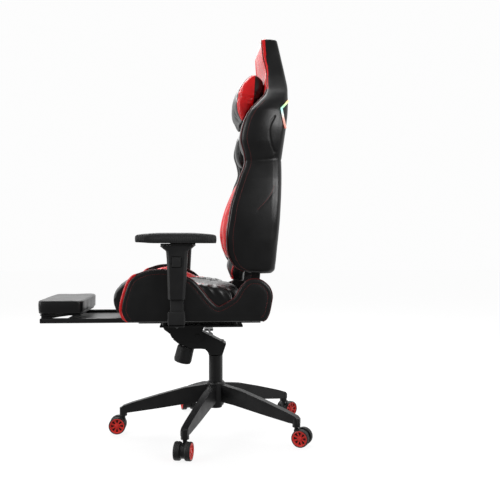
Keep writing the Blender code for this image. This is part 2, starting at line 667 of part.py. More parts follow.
def back_pads(back):
    def behind(z):
        return between(BACK_STATIONS, z, 3) - REAR_PAD - FRAME_LAYER

    centre = ((0.548, 0.100, 0.052), (0.575, 0.112, 0.040), (0.640, 0.117, 0.052), (0.740, 0.117, 0.068),
              (0.850, 0.114, 0.086), (0.950, 0.110, 0.104), (1.040, 0.110, 0.128), (1.110, 0.112, 0.150),
              (1.165, 0.104, 0.158))
    rings = []
    for z, half, front in centre:
        rear = min(behind(z), 0.125) if z < 0.58 else behind(z)
        if rear - front < 0.006:
            rear = front + 0.006
        middle, depth = (front + rear) / 2, (rear - front) / 2
        rings.append(pillow_ring(lambda a, b: (a, middle + b, z), half, depth, 0.45))
    adopt(loft("back_centre_pad", rings), back, "black_leather")

    lower = ((0.606, 0.135, 0.066), (0.630, 0.122, 0.036), (0.680, 0.120, 0.019), (0.720, 0.120, 0.015),
             (0.770, 0.120, 0.024), (0.826, 0.119, 0.044), (0.880, 0.117, 0.064), (0.925, 0.120, 0.086))
    upper = ((0.968, 0.122, 0.090), (0.994, 0.118, 0.079), (1.029, 0.116, 0.074), (1.070, 0.118, 0.079),
             (1.088, 0.143, 0.087), (1.105, 0.143, 0.096), (1.140, 0.144, 0.128), (1.155, 0.148, 0.142))
    for name, side in SIDES:
        for label, stations in (("lower_wing", lower), ("shoulder_wing", upper)):
            rings = []
            for z, inner, front in stations:
                outer = between(BACK_STATIONS, z, 1) - SIDE_WALL - 0.0015
                outer = min(outer, inner + 0.11)
                rear = max(behind(z), front + 0.012)
                across, half = (inner + outer) / 2, (outer - inner) / 2
                middle, depth = (front + rear) / 2, (rear - front) / 2
                rings.append(pillow_ring(
                    lambda a, b: (side * (across + a), middle + b, z), half, depth, 0.5))
            adopt(loft(f"{label}_{name}", rings), back, "red_leather" if label == "lower_wing" else "black_leather")


PILLOW_MIDDLE = (0.118, 1.184)
PILLOW_OUTLINE = (          # (y, z) round the pillow's end, from its top down the rear and up the front
    (0.1340, 1.2665), (0.1620, 1.2450), (0.1655, 1.2200), (0.1580, 1.1930), (0.1310, 1.1600), (0.0930, 1.1010),
    (0.0850, 1.1010), (0.0720, 1.1300), (0.0690, 1.1620), (0.0745, 1.1970), (0.0865, 1.2260), (0.1090, 1.2540),
)
PILLOW_BULGE = 0.010        # how much further forward the pillow's middle reaches


def head_pillow(back):
    middle_y, middle_z = PILLOW_MIDDLE
    rings = []
    for x, share, bulge in ((-0.140, 0.82, 0.0), (-0.132, 0.96, 0.2), (0.0, 1.0, 1.0), (0.132, 0.96, 0.2),
                            (0.140, 0.82, 0.0)):
        ring = []
        for y, z in PILLOW_OUTLINE:
            forward = PILLOW_BULGE * bulge if y < middle_y else 0.0
            ring.append((x, middle_y + (y - middle_y) * share - forward, middle_z + (z - middle_z) * share))
        rings.append(ring)
    adopt(loft("head_pillow", rings), back, "black_leather")


def light_strips(back):
    for name, side in SIDES:
        points = [(side * 0.2240, 0.2370, 1.1540), (side * 0.2440, 0.2240, 1.1370), (side * 0.2540, 0.211, 1.1230),
                  (side * 0.2560, 0.2165, 1.0930), (side * 0.2500, 0.2215, 1.0740), (side * 0.2440, 0.226, 1.0600)]
        adopt(tube(f"light_strip_{name}", points, 0.0035), back, "light_strip")


# ---------------------------------------------------------------- armrests

def armrest(name, side, seat):
    def span(low, high):
        return (min(side * low, side * high), max(side * low, side * high))

    foot_low, foot_high = span(0.1668, 0.330)
    bracket = box(f"arm_bracket_{name}", (foot_low, -0.1540, 0.4170), (foot_high, -0.1050, 0.4222))
    spacers = [rod("spacer", (side * 0.1760, y, 0.419), (side * 0.1760, y, FRAME_Z - FRAME_TUBE - GAP), 0.007,
                   segments=12) for y in (-0.142, -0.117)]
    adopt(joined(bracket, *spacers), seat, "black_steel")

    core_low, core_high = span(ARM_X - 0.0165, ARM_X + 0.0165)
    core = box(f"arm_core_{name}", (core_low, -0.1490, 0.4300), (core_high, -0.1060, 0.6240))
    sleeve_low, sleeve_high = span(ARM_X - 0.0240, ARM_X + 0.0270)
    foot = box("foot", (sleeve_low, -0.1560, 0.4225), (sleeve_high, -0.1020, 0.4670))
    core = joined(solid_copy(bevelled(core, 0.004)), solid_copy(bevelled(foot, 0.005)))
    adopt(core, seat, "soft_black_plastic")

    height = body(f"arm_height_{name}", (side * ARM_X, ARM_Y, 0.505), seat)
    inner, outer = ARM_X - 0.0250, ARM_X + 0.0280
    sections = ((0.5050, 0.0, -0.1560, -0.1010), (0.6300, 0.0010, -0.1590, -0.0945),
                (0.6560, 0.0020, -0.1610, -0.0930), (0.6650, 0.0040, -0.1700, -0.0850),
                (0.6740, 0.0070, -0.1810, -0.0740))
    rings = []
    for z, flare, y_low, y_high in sections:
        x_low, x_high = inner - flare, outer + flare * 0.4
        cham = 0.008
        corners = [(x_low + cham, y_low), (x_high - cham, y_low), (x_high, y_low + cham), (x_high, y_high - cham),
                   (x_high - cham, y_high), (x_low + cham, y_high), (x_low, y_high - cham), (x_low, y_low + cham)]
        rings.append([(side * x, y, z) for x, y in corners])
    sleeve = loft(f"arm_sleeve_{name}", rings)
    low, high = span(ARM_X - 0.0170, ARM_X + 0.0170)
    way = box("core_way", (low, -0.1495, 0.49), (high, -0.1055, 0.6640))
    low, high = span(0.3220, 0.340)
    pocket = box("button_pocket", (low, -0.1440, 0.6060), (high, -0.1140, 0.6400))
    adopt(cut(sleeve, way, pocket), height, "black_plastic")

    button = body(f"arm_button_{name}", (side * 0.330, ARM_Y, 0.6240), height)
    low, high = span(0.3262, 0.3326)
    key = box(f"arm_button_{name}", (low, -0.1430, 0.6072), (high, -0.1150, 0.6388))
    key.name = f"arm_height_button_{name}"
    adopt(solid_copy(bevelled(key, 0.0015)), button, "soft_black_plastic")

    slide = body(f"arm_slide_{name}", (side * ARM_X, ARM_Y, 0.678), height)
    low, high = span(ARM_X - 0.036, ARM_X + 0.032)
    slider = box(f"arm_slider_{name}", (low, -0.1780, 0.6744), (high, -0.0770, 0.6812))
    adopt(solid_copy(bevelled(slider, 0.002)), slide, "black_steel")

    swivel = body(f"arm_swivel_{name}", (side * ARM_X, ARM_Y, 0.682), slide)
    rings = []
    for z, grow in ((0.6818, -0.006), (0.6850, 0.0), (0.7070, 0.0), (0.7145, -0.006), (0.7180, -0.022)):
        middle = (side * (ARM_X - 0.002), -0.1300, z)
        rings.append(pillow_ring(lambda a, b: (middle[0] + a, middle[1] + b, z), 0.0480 + grow, 0.1280 + grow,
                                 0.28, 20))
    adopt(loft(f"arm_pad_{name}", rings), swivel, "soft_black_plastic")


# ---------------------------------------------------------------- footrest

def footrest(seat, slide, flip):
    bars = []
    for name, side in SIDES:
        edge = RAIL_X + RAIL_WIDTH / 2 + GAP
        inner = RAIL_X - RAIL_WIDTH / 2
        low_z, high_z = RAIL_BOTTOM - GAP, RAIL_TOP + GAP
        section = [(inner, low_z - SHEET), (edge + SHEET, low_z - SHEET), (edge + SHEET, high_z + SHEET),
                   (inner, high_z + SHEET), (inner, high_z), (edge, high_z), (edge, low_z), (inner, low_z)]
        rings = [[(side * x, y, z) for x, z in section] for y in (-0.262, 0.150)]
        channel = loft(f"footrest_guide_{name}", rings)
        adopt(channel, seat, "black_steel")
        low, high = sorted((side * (RAIL_X - RAIL_WIDTH / 2), side * (RAIL_X + RAIL_WIDTH / 2)))
        rail = box(f"rail_{name}", (low, RAIL_FRONT, RAIL_BOTTOM), (high, RAIL_REAR, RAIL_TOP))
        bars.append(bevelled(rail, 0.003))
    frame = solid_copy(bars[0])
    frame.name = "footrest_frame"
    reach = RAIL_X - RAIL_WIDTH / 2 + 0.004
    tray = box("tray", (-reach, -0.520, 0.4160), (reach, -0.262, 0.4185))
    bar = box("cross_bar", (-reach, -0.262, 0.4150), (reach, -0.232, 0.4230))
    frame = joined(frame, solid_copy(bars[1]), tray, bar)
    pin_way = rod("pin_way", (-0.2, FLIP_Y, FLIP_Z), (0.2, FLIP_Y, FLIP_Z), 0.0033, segments=12)
    adopt(cut(frame, pin_way), slide, "black_steel")

    pivots = rod("footrest_hinge", (-0.157, FLIP_Y, FLIP_Z), (0.157, FLIP_Y, FLIP_Z), 0.0030, segments=12)
    leaf = [(-0.591, 0.416), (-0.579, 0.416), (-0.566, 0.4265), (-0.530, 0.4330), (-0.500, 0.4370),
            (-0.500, 0.4420), (-0.5905, 0.4420)]
    leaves = [plate(f"leaf_{name}", leaf, *sorted((side * 0.129, side * 0.135))) for name, side in SIDES]
    board = box("board", (-0.145, -0.592, 0.4385), (0.145, -0.458, 0.4425))
    adopt(joined(pivots, board, *leaves), flip, "black_steel")

    rings = []
    for z, grow in ((0.4430, -0.006), (0.4480, 0.0), (0.4800, 0.0), (0.4885, -0.010), (0.4960, -0.045)):
        rings.append(pillow_ring(lambda a, b: (a, -0.5250 + b, z), 0.160 + grow, 0.0785 + grow * 0.9, 0.30, 20))
    adopt(loft("footrest_pad", rings), flip, "black_leather")


# ---------------------------------------------------------------- the chair

def build():
    base = body("base", (0, 0, 0), None)
    lift = body("lift", (0, 0, 0.28), base)
    turntable = body("turntable", (0, 0, 0.30), lift)
    seat = body("seat", (0, TILT_Y, TILT_Z), turntable)
    knob = body("knob", KNOB_SEAT, turntable)
    lever = body("lever", (-0.035, LEVER_Y, LEVER_Z), turntable)
    back = body("back", (0, HINGE_Y, HINGE_Z), seat)
    recline_lever = body("recline_handle", (-0.27, HINGE_Y, HINGE_Z), seat)
    slide = body("footrest_slide", (0, RAIL_FRONT, RAIL_TOP), seat)
    flip = body("footrest_flip", (0, FLIP_Y, FLIP_Z), slide)

    base_star(base)
    gas_spring(base, lift)
    for index, heading in enumerate(CASTER_HEADINGS):
        caster(index, heading, base)
    mechanism(turntable, seat)
    tension(knob)
    height_lever(lever)
    seat_frame(seat)
    seat_cushion(seat)
    recline_hinge(seat, back, recline_lever)
    back_shell(back)
    back_frame(back)
    back_pads(back)
    head_pillow(back)
    light_strips(back)
    for name, side in SIDES:
        seat_bolster(name, side, seat)
        armrest(name, side, seat)
    footrest(seat, slide, flip)
    base.location.y = COLUMN_Y


build()
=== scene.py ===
import json
from math import cos, pi, radians, sin, sqrt

import bmesh
import bpy
import numpy as np
from mathutils import Matrix, Vector, noise
from mathutils.bvhtree import BVHTree
from mathutils.geometry import delaunay_2d_cdt


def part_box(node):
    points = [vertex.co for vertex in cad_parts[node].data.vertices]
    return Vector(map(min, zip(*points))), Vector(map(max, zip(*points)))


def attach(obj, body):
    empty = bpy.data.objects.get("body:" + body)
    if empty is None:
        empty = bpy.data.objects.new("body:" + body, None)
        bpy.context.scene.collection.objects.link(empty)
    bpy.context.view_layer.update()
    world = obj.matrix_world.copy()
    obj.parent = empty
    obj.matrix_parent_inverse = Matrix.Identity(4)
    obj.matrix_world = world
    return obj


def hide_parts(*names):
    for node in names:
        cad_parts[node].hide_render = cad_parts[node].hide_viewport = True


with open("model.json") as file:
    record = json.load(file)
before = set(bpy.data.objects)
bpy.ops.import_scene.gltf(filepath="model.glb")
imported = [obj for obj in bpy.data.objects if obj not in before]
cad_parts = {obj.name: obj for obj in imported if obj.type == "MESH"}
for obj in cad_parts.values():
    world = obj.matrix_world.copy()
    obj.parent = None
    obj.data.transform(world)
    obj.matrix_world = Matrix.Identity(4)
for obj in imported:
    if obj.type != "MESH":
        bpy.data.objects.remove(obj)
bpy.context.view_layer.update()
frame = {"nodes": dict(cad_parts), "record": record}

# Looks of the reclining gaming chair: upholstery, casters, moulded armrests, finishes and the studio.
# Shapes are written with the column axis at Y = 0 and are moved back by COLUMN_Y when they are dressed.

COLUMN_Y = 0.1397
SIDES = (("left", 1), ("right", -1))

LEG_REACH = 0.332
WHEEL_RADIUS = 0.030
WHEEL_WIDTH = 0.019
WHEEL_INNER = 0.0085
CASTER_TRAIL = 0.020
CASTER_HEADINGS = (-90, -13, 63, 128.5, -167)

PANEL_FACE = 0.2565         # plane where the seat's side panel starts to bulge
PIPING = 0.0024             # radius of the upholstery's piping
BORDER = 0.015              # from a panel's edge to its row of stitches

# The back from bottom to top: height, half width, front edge of the side panel, rear face.
BACK_STATIONS = (
    (0.5825, 0.227, 0.140, 0.1940),
    (0.5885, 0.229, 0.090, 0.1950),
    (0.612, 0.234, 0.053, 0.1970),
    (0.661, 0.240, 0.034, 0.2010),
    (0.702, 0.245, 0.032, 0.2050),
    (0.760, 0.248, 0.039, 0.2100),
    (0.808, 0.246, 0.047, 0.2130),
    (0.845, 0.242, 0.058, 0.2150),
    (0.901, 0.234, 0.076, 0.2170),
    (0.951, 0.236, 0.092, 0.2160),
    (0.978, 0.240, 0.088, 0.2180),
    (1.025, 0.248, 0.077, 0.2240),
    (1.070, 0.252, 0.085, 0.2300),
    (1.114, 0.249, 0.105, 0.2350),
    (1.148, 0.238, 0.134, 0.2370),
    (1.176, 0.222, 0.158, 0.2370),
    (1.200, 0.204, 0.166, 0.2380),
    (1.259, 0.168, 0.168, 0.2320),
    (1.317, 0.147, 0.1585, 0.2220),
    (1.362, 0.138, 0.1545, 0.2130),
    (1.384, 0.133, 0.1535, 0.2085),
)
BACK_BOTTOM = BACK_STATIONS[0][0]
BACK_TOP = BACK_STATIONS[-1][0]
NECK = 1.176                # from here up the back is one thick pad
CORNER = 0.030              # rear corners of the back, and of its head section
HEAD_CORNER = 0.012
TOP_ROUND = 0.009           # rounding of the top and bottom edges
BOTTOM_ROUND = 0.016
SIDE_WALL = 0.030
PAD_BACK = 0.045 + 0.030    # rear pad and steel frame behind the front pads


# ---------------------------------------------------------------- curves and tables

def catmull(a, b, c, d, t):
    """Point between b and c on the smooth curve through four points."""
    bend = (2 * a - 5 * b + 4 * c - d) * t * t
    return 0.5 * (2 * b + (c - a) * t + bend + (3 * b - a - 3 * c + d) * t ** 3)


def slope(stations, i, column):
    """How fast a column changes at one station, without letting the curve overshoot its neighbours."""
    steps = []
    for j in (i - 1, i):
        if 0 <= j < len(stations) - 1:
            step = stations[j + 1][0] - stations[j][0]
            steps.append((step, (stations[j + 1][column] - stations[j][column]) / step))
    if len(steps) == 1:
        return steps[0][1]
    (before, rate_before), (after, rate_after) = steps
    if rate_before * rate_after <= 0:
        return 0.0
    share_before, share_after = 2 * after + before, after + 2 * before
    return (share_before + share_after) / (share_before / rate_before + share_after / rate_after)


def table(stations, height, column):
    """Smooth curve through one column of a table of stations, at a height."""
    height = min(max(height, stations[0][0]), stations[-1][0])
    i = 0
    while i < len(stations) - 2 and stations[i + 1][0] < height:
        i += 1
    low, high = stations[i], stations[i + 1]
    step = high[0] - low[0]
    t = (height - low[0]) / step
    value = low[column] * (1 + 2 * t) * (1 - t) ** 2 + high[column] * (3 - 2 * t) * t ** 2
    rise = slope(stations, i, column) * t * (1 - t) ** 2 - slope(stations, i + 1, column) * (1 - t) * t ** 2
    return value + rise * step


def quarter_round(radius, rise):
    """How far a rounded edge has drawn in at a height above the start of its rounding."""
    rise = min(max(rise, 0.0), radius)
    return radius - sqrt(radius ** 2 - rise ** 2)


def top_inset(z):
    return quarter_round(TOP_ROUND, z - (BACK_TOP - TOP_ROUND))


def bottom_inset(z):
    return quarter_round(BOTTOM_ROUND, BACK_BOTTOM + BOTTOM_ROUND - z)


def back_half(z):
    return table(BACK_STATIONS, z, 1) - 0.8 * top_inset(z) - 0.6 * bottom_inset(z)


def back_front(z):
    return table(BACK_STATIONS, z, 2) + top_inset(z)


def back_rear(z):
    return table(BACK_STATIONS, z, 3) - top_inset(z) - bottom_inset(z)


def back_corner(z):
    return CORNER + (HEAD_CORNER - CORNER) * smoothstep(1.13, 1.20, z)


def even_line(points, step, closed=False):
    """Points an even step apart along a smooth curve through the given ones."""
    points = [Vector(p) for p in points]
    count = len(points)
    fine = []
    for i in range(count if closed else count - 1):
        if closed:
            a, b, c, d = (points[(i + k) % count] for k in (-1, 0, 1, 2))
        else:
            a, b, c, d = (points[min(max(i + k, 0), count - 1)] for k in (-1, 0, 1, 2))
        pieces = max(2, int((c - b).length / step * 4))
        fine += [catmull(a, b, c, d, j / pieces) for j in range(pieces)]
    fine.append(points[0] if closed else points[-1])
    lengths = np.cumsum([0] + [(q - p).length for p, q in zip(fine, fine[1:])])
    amount = max(2, int(round(lengths[-1] / step)))
    wanted = np.linspace(0, lengths[-1], amount + 1)
    line = []
    j = 0
    for w in wanted:
        while j < len(lengths) - 2 and lengths[j + 1] < w:
            j += 1
        t = (w - lengths[j]) / max(lengths[j + 1] - lengths[j], 1e-9)
        line.append(fine[j].lerp(fine[j + 1], min(max(t, 0), 1)))
    return line[:-1] if closed else line


def distance_to(points, line, closed=False):
    """Distance of each (a, b) point to a polyline."""
    points = np.asarray(points, float)
    ends = np.asarray([tuple(p)[:2] for p in line], float)
    starts, stops = (ends, np.roll(ends, -1, 0)) if closed else (ends[:-1], ends[1:])
    best = np.full(len(points), 1e9)
    for a, b in zip(starts, stops):
        along = b - a
        t = np.clip(((points - a) @ along) / max(along @ along, 1e-12), 0, 1)
        best = np.minimum(best, np.linalg.norm(points - a - t[:, None] * along, axis=1))
    return best


def inside(points, outline):
    """Which (a, b) points lie inside a closed outline."""
    points = np.asarray(points, float)
    corners = np.asarray([tuple(p)[:2] for p in outline], float)
    result = np.zeros(len(points), bool)
    for (ax, ay), (bx, by) in zip(corners, np.roll(corners, -1, 0)):
        crosses = (ay > points[:, 1]) != (by > points[:, 1])
        with np.errstate(divide="ignore", invalid="ignore"):
            at = (bx - ax) * (points[:, 1] - ay) / (by - ay) + ax
        result ^= crosses & (points[:, 0] < at)
    return result


def smoothstep(low, high, value):
    t = min(max((value - low) / (high - low), 0.0), 1.0)
    return t * t * (3 - 2 * t)


# ---------------------------------------------------------------- meshes

def linked(name, data):
    """A new object in the scene."""
    made = bpy.data.objects.new(name, data)
    bpy.context.scene.collection.objects.link(made)
    return made


def new_piece(name, points, faces):
    mesh = bpy.data.meshes.new(name)
    mesh.from_pydata([tuple(p) for p in points], [], faces)
    return tidy(linked(name, mesh))


def from_bmesh(name, bm):
    mesh = bpy.data.meshes.new(name)
    bm.to_mesh(mesh)
    bm.free()
    return tidy(linked(name, mesh))


def tidy(piece, angle=40):
    """Closes doubled points, turns the faces outwards and shades the piece smooth up to an angle."""
    bm = bmesh.new()
    bm.from_mesh(piece.data)
    bmesh.ops.remove_doubles(bm, verts=bm.verts, dist=1e-6)
    bmesh.ops.recalc_face_normals(bm, faces=bm.faces)
    bm.to_mesh(piece.data)
    bm.free()
    piece.data.shade_smooth()
    piece.data.set_sharp_from_angle(angle=radians(angle))
    return piece


def loft(name, rings, closed=True, capped=True, angle=50):
    """A skin through rings of points, each with the same number of points."""
    count = len(rings[0])
    points = [p for ring in rings for p in ring]
    faces = []
    for r in range(len(rings) - 1):
        for i in range(count if closed else count - 1):
            j = (i + 1) % count
            faces.append((r * count + i, r * count + j, (r + 1) * count + j, (r + 1) * count + i))
    if closed and capped:
        faces.append(tuple(range(count)))
        faces.append(tuple((len(rings) - 1) * count + i for i in range(count)))
    return tidy(new_piece(name, points, faces), angle)


def tube(name, line, radius, closed=False, sides=10):
    """A round tube along a line; radius is one number or one for each point."""
    line = [Vector(p) for p in line]
    count = len(line)
    radii = radius if isinstance(radius, (list, tuple)) else [radius] * count
    rings = []
    normal = None
    for i, point in enumerate(line):
        if closed:
            along = line[(i + 1) % count] - line[i - 1]
        else:
            along = line[min(i + 1, count - 1)] - line[max(i - 1, 0)]
        along.normalize()
        if normal is None:
            normal = along.orthogonal().normalized()
        normal = (normal - along * normal.dot(along)).normalized()
        other = along.cross(normal)
        turn = [2 * pi * k / sides for k in range(sides)]
        rings.append([point + radii[i] * (cos(a) * normal + sin(a) * other) for a in turn])
    if closed:
        rings.append(rings[0])
    return loft(name, rings, capped=not closed)


def laid_on(piece, line, sunk=0.0):
    """The line's points moved to the nearest places on a piece's skin, sunk a little into it."""
    bm = bmesh.new()
    bm.from_mesh(piece.data)
    skin = BVHTree.FromBMesh(bm)
    bm.free()
    placed = []
    for point in line:
        place, normal, _, _ = skin.find_nearest(Vector(point))
        placed.append(place - normal * sunk)
    return placed


def stitches(name, line, length=0.0042, gap=0.0022, radius=0.00075):
    """A row of short thread stitches half sunk in the leather along a line."""
    line = even_line(line, 0.001)
    pitch = int(round((length + gap) / 0.001))
    run = int(round(length / 0.001))
    rings_of = ((0.0, 0.35), (0.2, 1.0), (0.8, 1.0), (1.0, 0.35))
    points, faces = [], []
    for first in range(0, len(line) - run, pitch):
        start, end = line[first], line[first + run]
        along = (end - start).normalized()
        normal = along.orthogonal().normalized()
        other = along.cross(normal)
        base = len(points)
        for share, size in rings_of:
            centre = start.lerp(end, share)
            for k in range(6):
                angle = 2 * pi * k / 6
                points.append(centre + radius * size * (cos(angle) * normal + sin(angle) * other))
        for r in range(3):
            for k in range(6):
                n = (k + 1) % 6
                low = base + 6 * r
                faces.append((low + k, low + n, low + 6 + n, low + 6 + k))
        faces.append(tuple(base + k for k in range(6)))
        faces.append(tuple(base + 18 + k for k in range(6)))
    return new_piece(name, points, faces)


def turned(name, profile, steps=48):
    """A closed (radius, z) profile turned round Z."""
    rings = []
    for i in range(steps):
        a = 2 * pi * i / steps
        rings.append([(r * cos(a), r * sin(a), z) for r, z in profile])
    rings.append(rings[0])
    return loft(name, rings, capped=False, angle=35)


def super_ring(place, half_a, half_b, power=0.5, count=36):
    """A rounded rectangle about the origin; place(a, b) puts each point in space."""
    ring = []
    for i in range(count):
        angle = 2 * pi * (i + 0.5) / count
        c, s = cos(angle), sin(angle)
        a = half_a * abs(c) ** power * (1 if c > 0 else -1)
        b = half_b * abs(s) ** power * (1 if s > 0 else -1)
        ring.append(place(a, b))
    return ring


def joined(name, pieces):
    bm = bmesh.new()
    for piece in pieces:
        bm.from_mesh(piece.data)
        bpy.data.objects.remove(piece)
    return from_bmesh(name, bm)


def mirrored(piece, name):
    """A copy of a left-hand piece for the right-hand side."""
    copy = linked(name, piece.data.copy())
    copy.data.transform(Matrix.Diagonal((-1, 1, 1, 1)))
    copy.data.flip_normals()
    return copy


def with_modifiers_applied(piece):
    bpy.context.view_layer.update()
    graph = bpy.context.evaluated_depsgraph_get()
    mesh = bpy.data.meshes.new_from_object(piece.evaluated_get(graph))
    piece.modifiers.clear()
    piece.data = mesh
    mesh.shade_smooth()
    return piece


def softened(piece):
    """One level of subdivision, applied."""
    soft = piece.modifiers.new("soft", "SUBSURF")
    soft.levels = 1
    soft.render_levels = 1
    return with_modifiers_applied(piece)


def puffed(piece, voxel=0.006, pressure=4.0, cap=0.012, held=None, slack=0.0, frames=20):
    """Swells a closed shape the way a filled cover does. held(point) says which points a seam holds down."""
    remesh = piece.modifiers.new("even_mesh", "REMESH")
    remesh.mode = "VOXEL"
    remesh.voxel_size = voxel
    with_modifiers_applied(piece)
    mesh = piece.data
    rest = np.zeros(len(mesh.vertices) * 3)
    mesh.vertices.foreach_get("co", rest)
    rest = rest.reshape(-1, 3)
    if held is not None:
        group = piece.vertex_groups.new(name="held")
        group.add([i for i, p in enumerate(rest) if held(p)], 1.0, "REPLACE")
    cover = piece.modifiers.new("cover", "CLOTH")
    cover.settings.use_pressure = True
    cover.settings.uniform_pressure_force = pressure
    cover.settings.effector_weights.gravity = 0
    cover.settings.shrink_min = -slack
    if held is not None:
        cover.settings.vertex_group_mass = "held"
    for step in range(1, frames + 1):
        bpy.context.scene.frame_set(step)
    graph = bpy.context.evaluated_depsgraph_get()
    swollen = np.zeros(len(rest) * 3)
    piece.evaluated_get(graph).data.vertices.foreach_get("co", swollen)
    move = swollen.reshape(-1, 3) - rest
    length = np.linalg.norm(move, axis=1, keepdims=True)
    move *= np.minimum(1.0, cap / np.maximum(length, 1e-9))
    piece.modifiers.clear()
    piece.vertex_groups.clear()
    mesh.vertices.foreach_set("co", (rest + move).ravel())
    mesh.update()
    bpy.context.scene.frame_set(1)
    return softened(piece)


def pressed(piece, depth_at):
    """Moves each point inwards along its normal by depth_at(point)."""
    mesh = piece.data
    normals = [v.normal.copy() for v in mesh.vertices]
    for vertex, normal in zip(mesh.vertices, normals):
        vertex.co -= normal * depth_at(vertex.co)
    mesh.update()
    return piece


def painted(piece, cuts, second, rule):
    """Cuts the mesh cleanly along planes and gives the faces that satisfy rule(centre) a second finish."""
    bm = bmesh.new()
    bm.from_mesh(piece.data)
    for point, normal in cuts:
        everything = bm.verts[:] + bm.edges[:] + bm.faces[:]
        bmesh.ops.bisect_plane(bm, geom=everything, plane_co=point, plane_no=normal)
    bm.to_mesh(piece.data)
    bm.free()
    piece.data.shade_smooth()
    piece["second"] = second
    for face in piece.data.polygons:
        face.material_index = 1 if rule(face.center) else 0
    return piece


# ---------------------------------------------------------------- finishes

DIMPLE_PITCH = 0.0062


def shader(name, colour, roughness, metallic=0.0):
    made = bpy.data.materials.new(name)
    made.use_nodes = True
    surface_of(made)["Base Color"].default_value = (*colour, 1.0)
    surface_of(made)["Roughness"].default_value = roughness
    surface_of(made)["Metallic"].default_value = metallic
    return made


def surface_of(made):
    return made.node_tree.nodes["Principled BSDF"].inputs


def calculated(made, operation, first, second=None):
    """A Math node; its inputs are outputs of other nodes, or numbers."""
    node = made.node_tree.nodes.new("ShaderNodeMath")
    node.operation = operation
    for socket, value in zip(node.inputs, (first, second)):
        if isinstance(value, bpy.types.NodeSocket):
            made.node_tree.links.new(value, socket)
        elif value is not None:
            socket.default_value = value
    return node.outputs[0]


def texture(made, kind, scale, **settings):
    """A procedural texture in the piece's own metres."""
    nodes, links = made.node_tree.nodes, made.node_tree.links
    place = nodes.get("Texture Coordinate") or nodes.new("ShaderNodeTexCoord")
    found = nodes.new(kind)
    found.inputs["Scale"].default_value = scale
    for key, value in settings.items():
        socket = key.replace("_", " ").title()
        if socket in found.inputs:
            found.inputs[socket].default_value = value
        else:
            setattr(found, key, value)
    links.new(place.outputs["Object"], found.inputs["Vector"])
    return found.outputs["Distance"] if kind == "ShaderNodeTexVoronoi" else found.outputs[0]


def ranged(made, value, low, high, source=(0.0, 1.0)):
    node = made.node_tree.nodes.new("ShaderNodeMapRange")
    node.inputs["From Min"].default_value = source[0]
    node.inputs["From Max"].default_value = source[1]
    node.inputs["To Min"].default_value = low
    node.inputs["To Max"].default_value = high
    made.node_tree.links.new(value, node.inputs["Value"])
    return node.outputs["Result"]


def added(made, *values):
    total = values[0]
    for value in values[1:]:
        total = calculated(made, "ADD", total, value)
    return total


def bumped(made, height, distance, strength=1.0):
    bump = made.node_tree.nodes.new("ShaderNodeBump")
    bump.inputs["Distance"].default_value = distance
    bump.inputs["Strength"].default_value = strength
    made.node_tree.links.new(height, bump.inputs["Height"])
    made.node_tree.links.new(bump.outputs["Normal"], surface_of(made)["Normal"])
    return made


def mottled(made, value, dark, light, source=(0.3, 0.7)):
    """Drives the base colour between two shades of one colour."""
    mix = made.node_tree.nodes.new("ShaderNodeMix")
    mix.data_type = "RGBA"
    mix.inputs[6].default_value = (*dark, 1.0)
    mix.inputs[7].default_value = (*light, 1.0)
    made.node_tree.links.new(ranged(made, value, 0.0, 1.0, source), mix.inputs[0])
    made.node_tree.links.new(mix.outputs[2], surface_of(made)["Base Color"])
    return made


def roughened(made, value, low, high):
    made.node_tree.links.new(ranged(made, value, low, high, (0.3, 0.7)), surface_of(made)["Roughness"])
    return made


def leather(name, dark, light, smooth, rough):
    """Coated leather: pebbled grain, fine creases, uneven wear."""
    made = shader(name, light, smooth)
    grain = ranged(made, texture(made, "ShaderNodeTexVoronoi", 620.0), 0.0, 0.55)
    pores = ranged(made, texture(made, "ShaderNodeTexNoise", 1900.0, detail=2.0), 0.0, 0.20)
    creases = ranged(made, texture(made, "ShaderNodeTexNoise", 40.0, detail=3.0), 0.0, 0.7)
    bumped(made, added(made, grain, pores, creases), 0.00026, 0.45)
    wear = texture(made, "ShaderNodeTexNoise", 14.0, detail=4.0)
    roughened(made, wear, smooth, rough)
    return mottled(made, wear, dark, light)


def moulded(name, dark, light, smooth, rough, grain_scale=900.0, depth=0.00012):
    """Injection-moulded plastic with a spark-eroded texture."""
    made = shader(name, light, smooth)
    grit = ranged(made, texture(made, "ShaderNodeTexNoise", grain_scale, detail=3.0), 0.0, 1.0)
    flow = ranged(made, texture(made, "ShaderNodeTexNoise", 26.0, detail=2.0), 0.0, 0.8)
    bumped(made, added(made, grit, flow), depth, 0.6)
    wear = texture(made, "ShaderNodeTexNoise", 18.0, detail=3.0)
    roughened(made, wear, smooth, rough)
    return mottled(made, wear, dark, light)


def dimpled(name):
    """Soft armrest skin: small round dimples in staggered rows on top of a fine grain."""
    made = moulded(name, (0.008, 0.008, 0.0085), (0.013, 0.013, 0.0135), 0.50, 0.62)
    nodes, links = made.node_tree.nodes, made.node_tree.links
    split = nodes.new("ShaderNodeSeparateXYZ")
    links.new(nodes["Texture Coordinate"].outputs["Object"], split.inputs[0])
    turns = 2 * pi / DIMPLE_PITCH
    waves = []
    for axis in (0, 1):
        angle = calculated(made, "MULTIPLY", split.outputs[axis], turns)
        waves.append(calculated(made, "SINE", angle))
    product = calculated(made, "MULTIPLY", *waves)
    bumped(made, ranged(made, product, 0.0, 1.0, (-0.6, 0.6)), 0.0009, 1.0)
    return made


def steel(name, colour, roughness):
    """Ground bright steel with fine lines round the piece."""
    made = shader(name, colour, roughness, 1.0)
    lines = texture(made, "ShaderNodeTexNoise", 2600.0, detail=2.0)
    bumped(made, lines, 0.00003, 0.5)
    wear = texture(made, "ShaderNodeTexNoise", 40.0, detail=3.0)
    roughened(made, wear, roughness, roughness + 0.12)
    return mottled(made, wear, tuple(c * 0.85 for c in colour), colour)


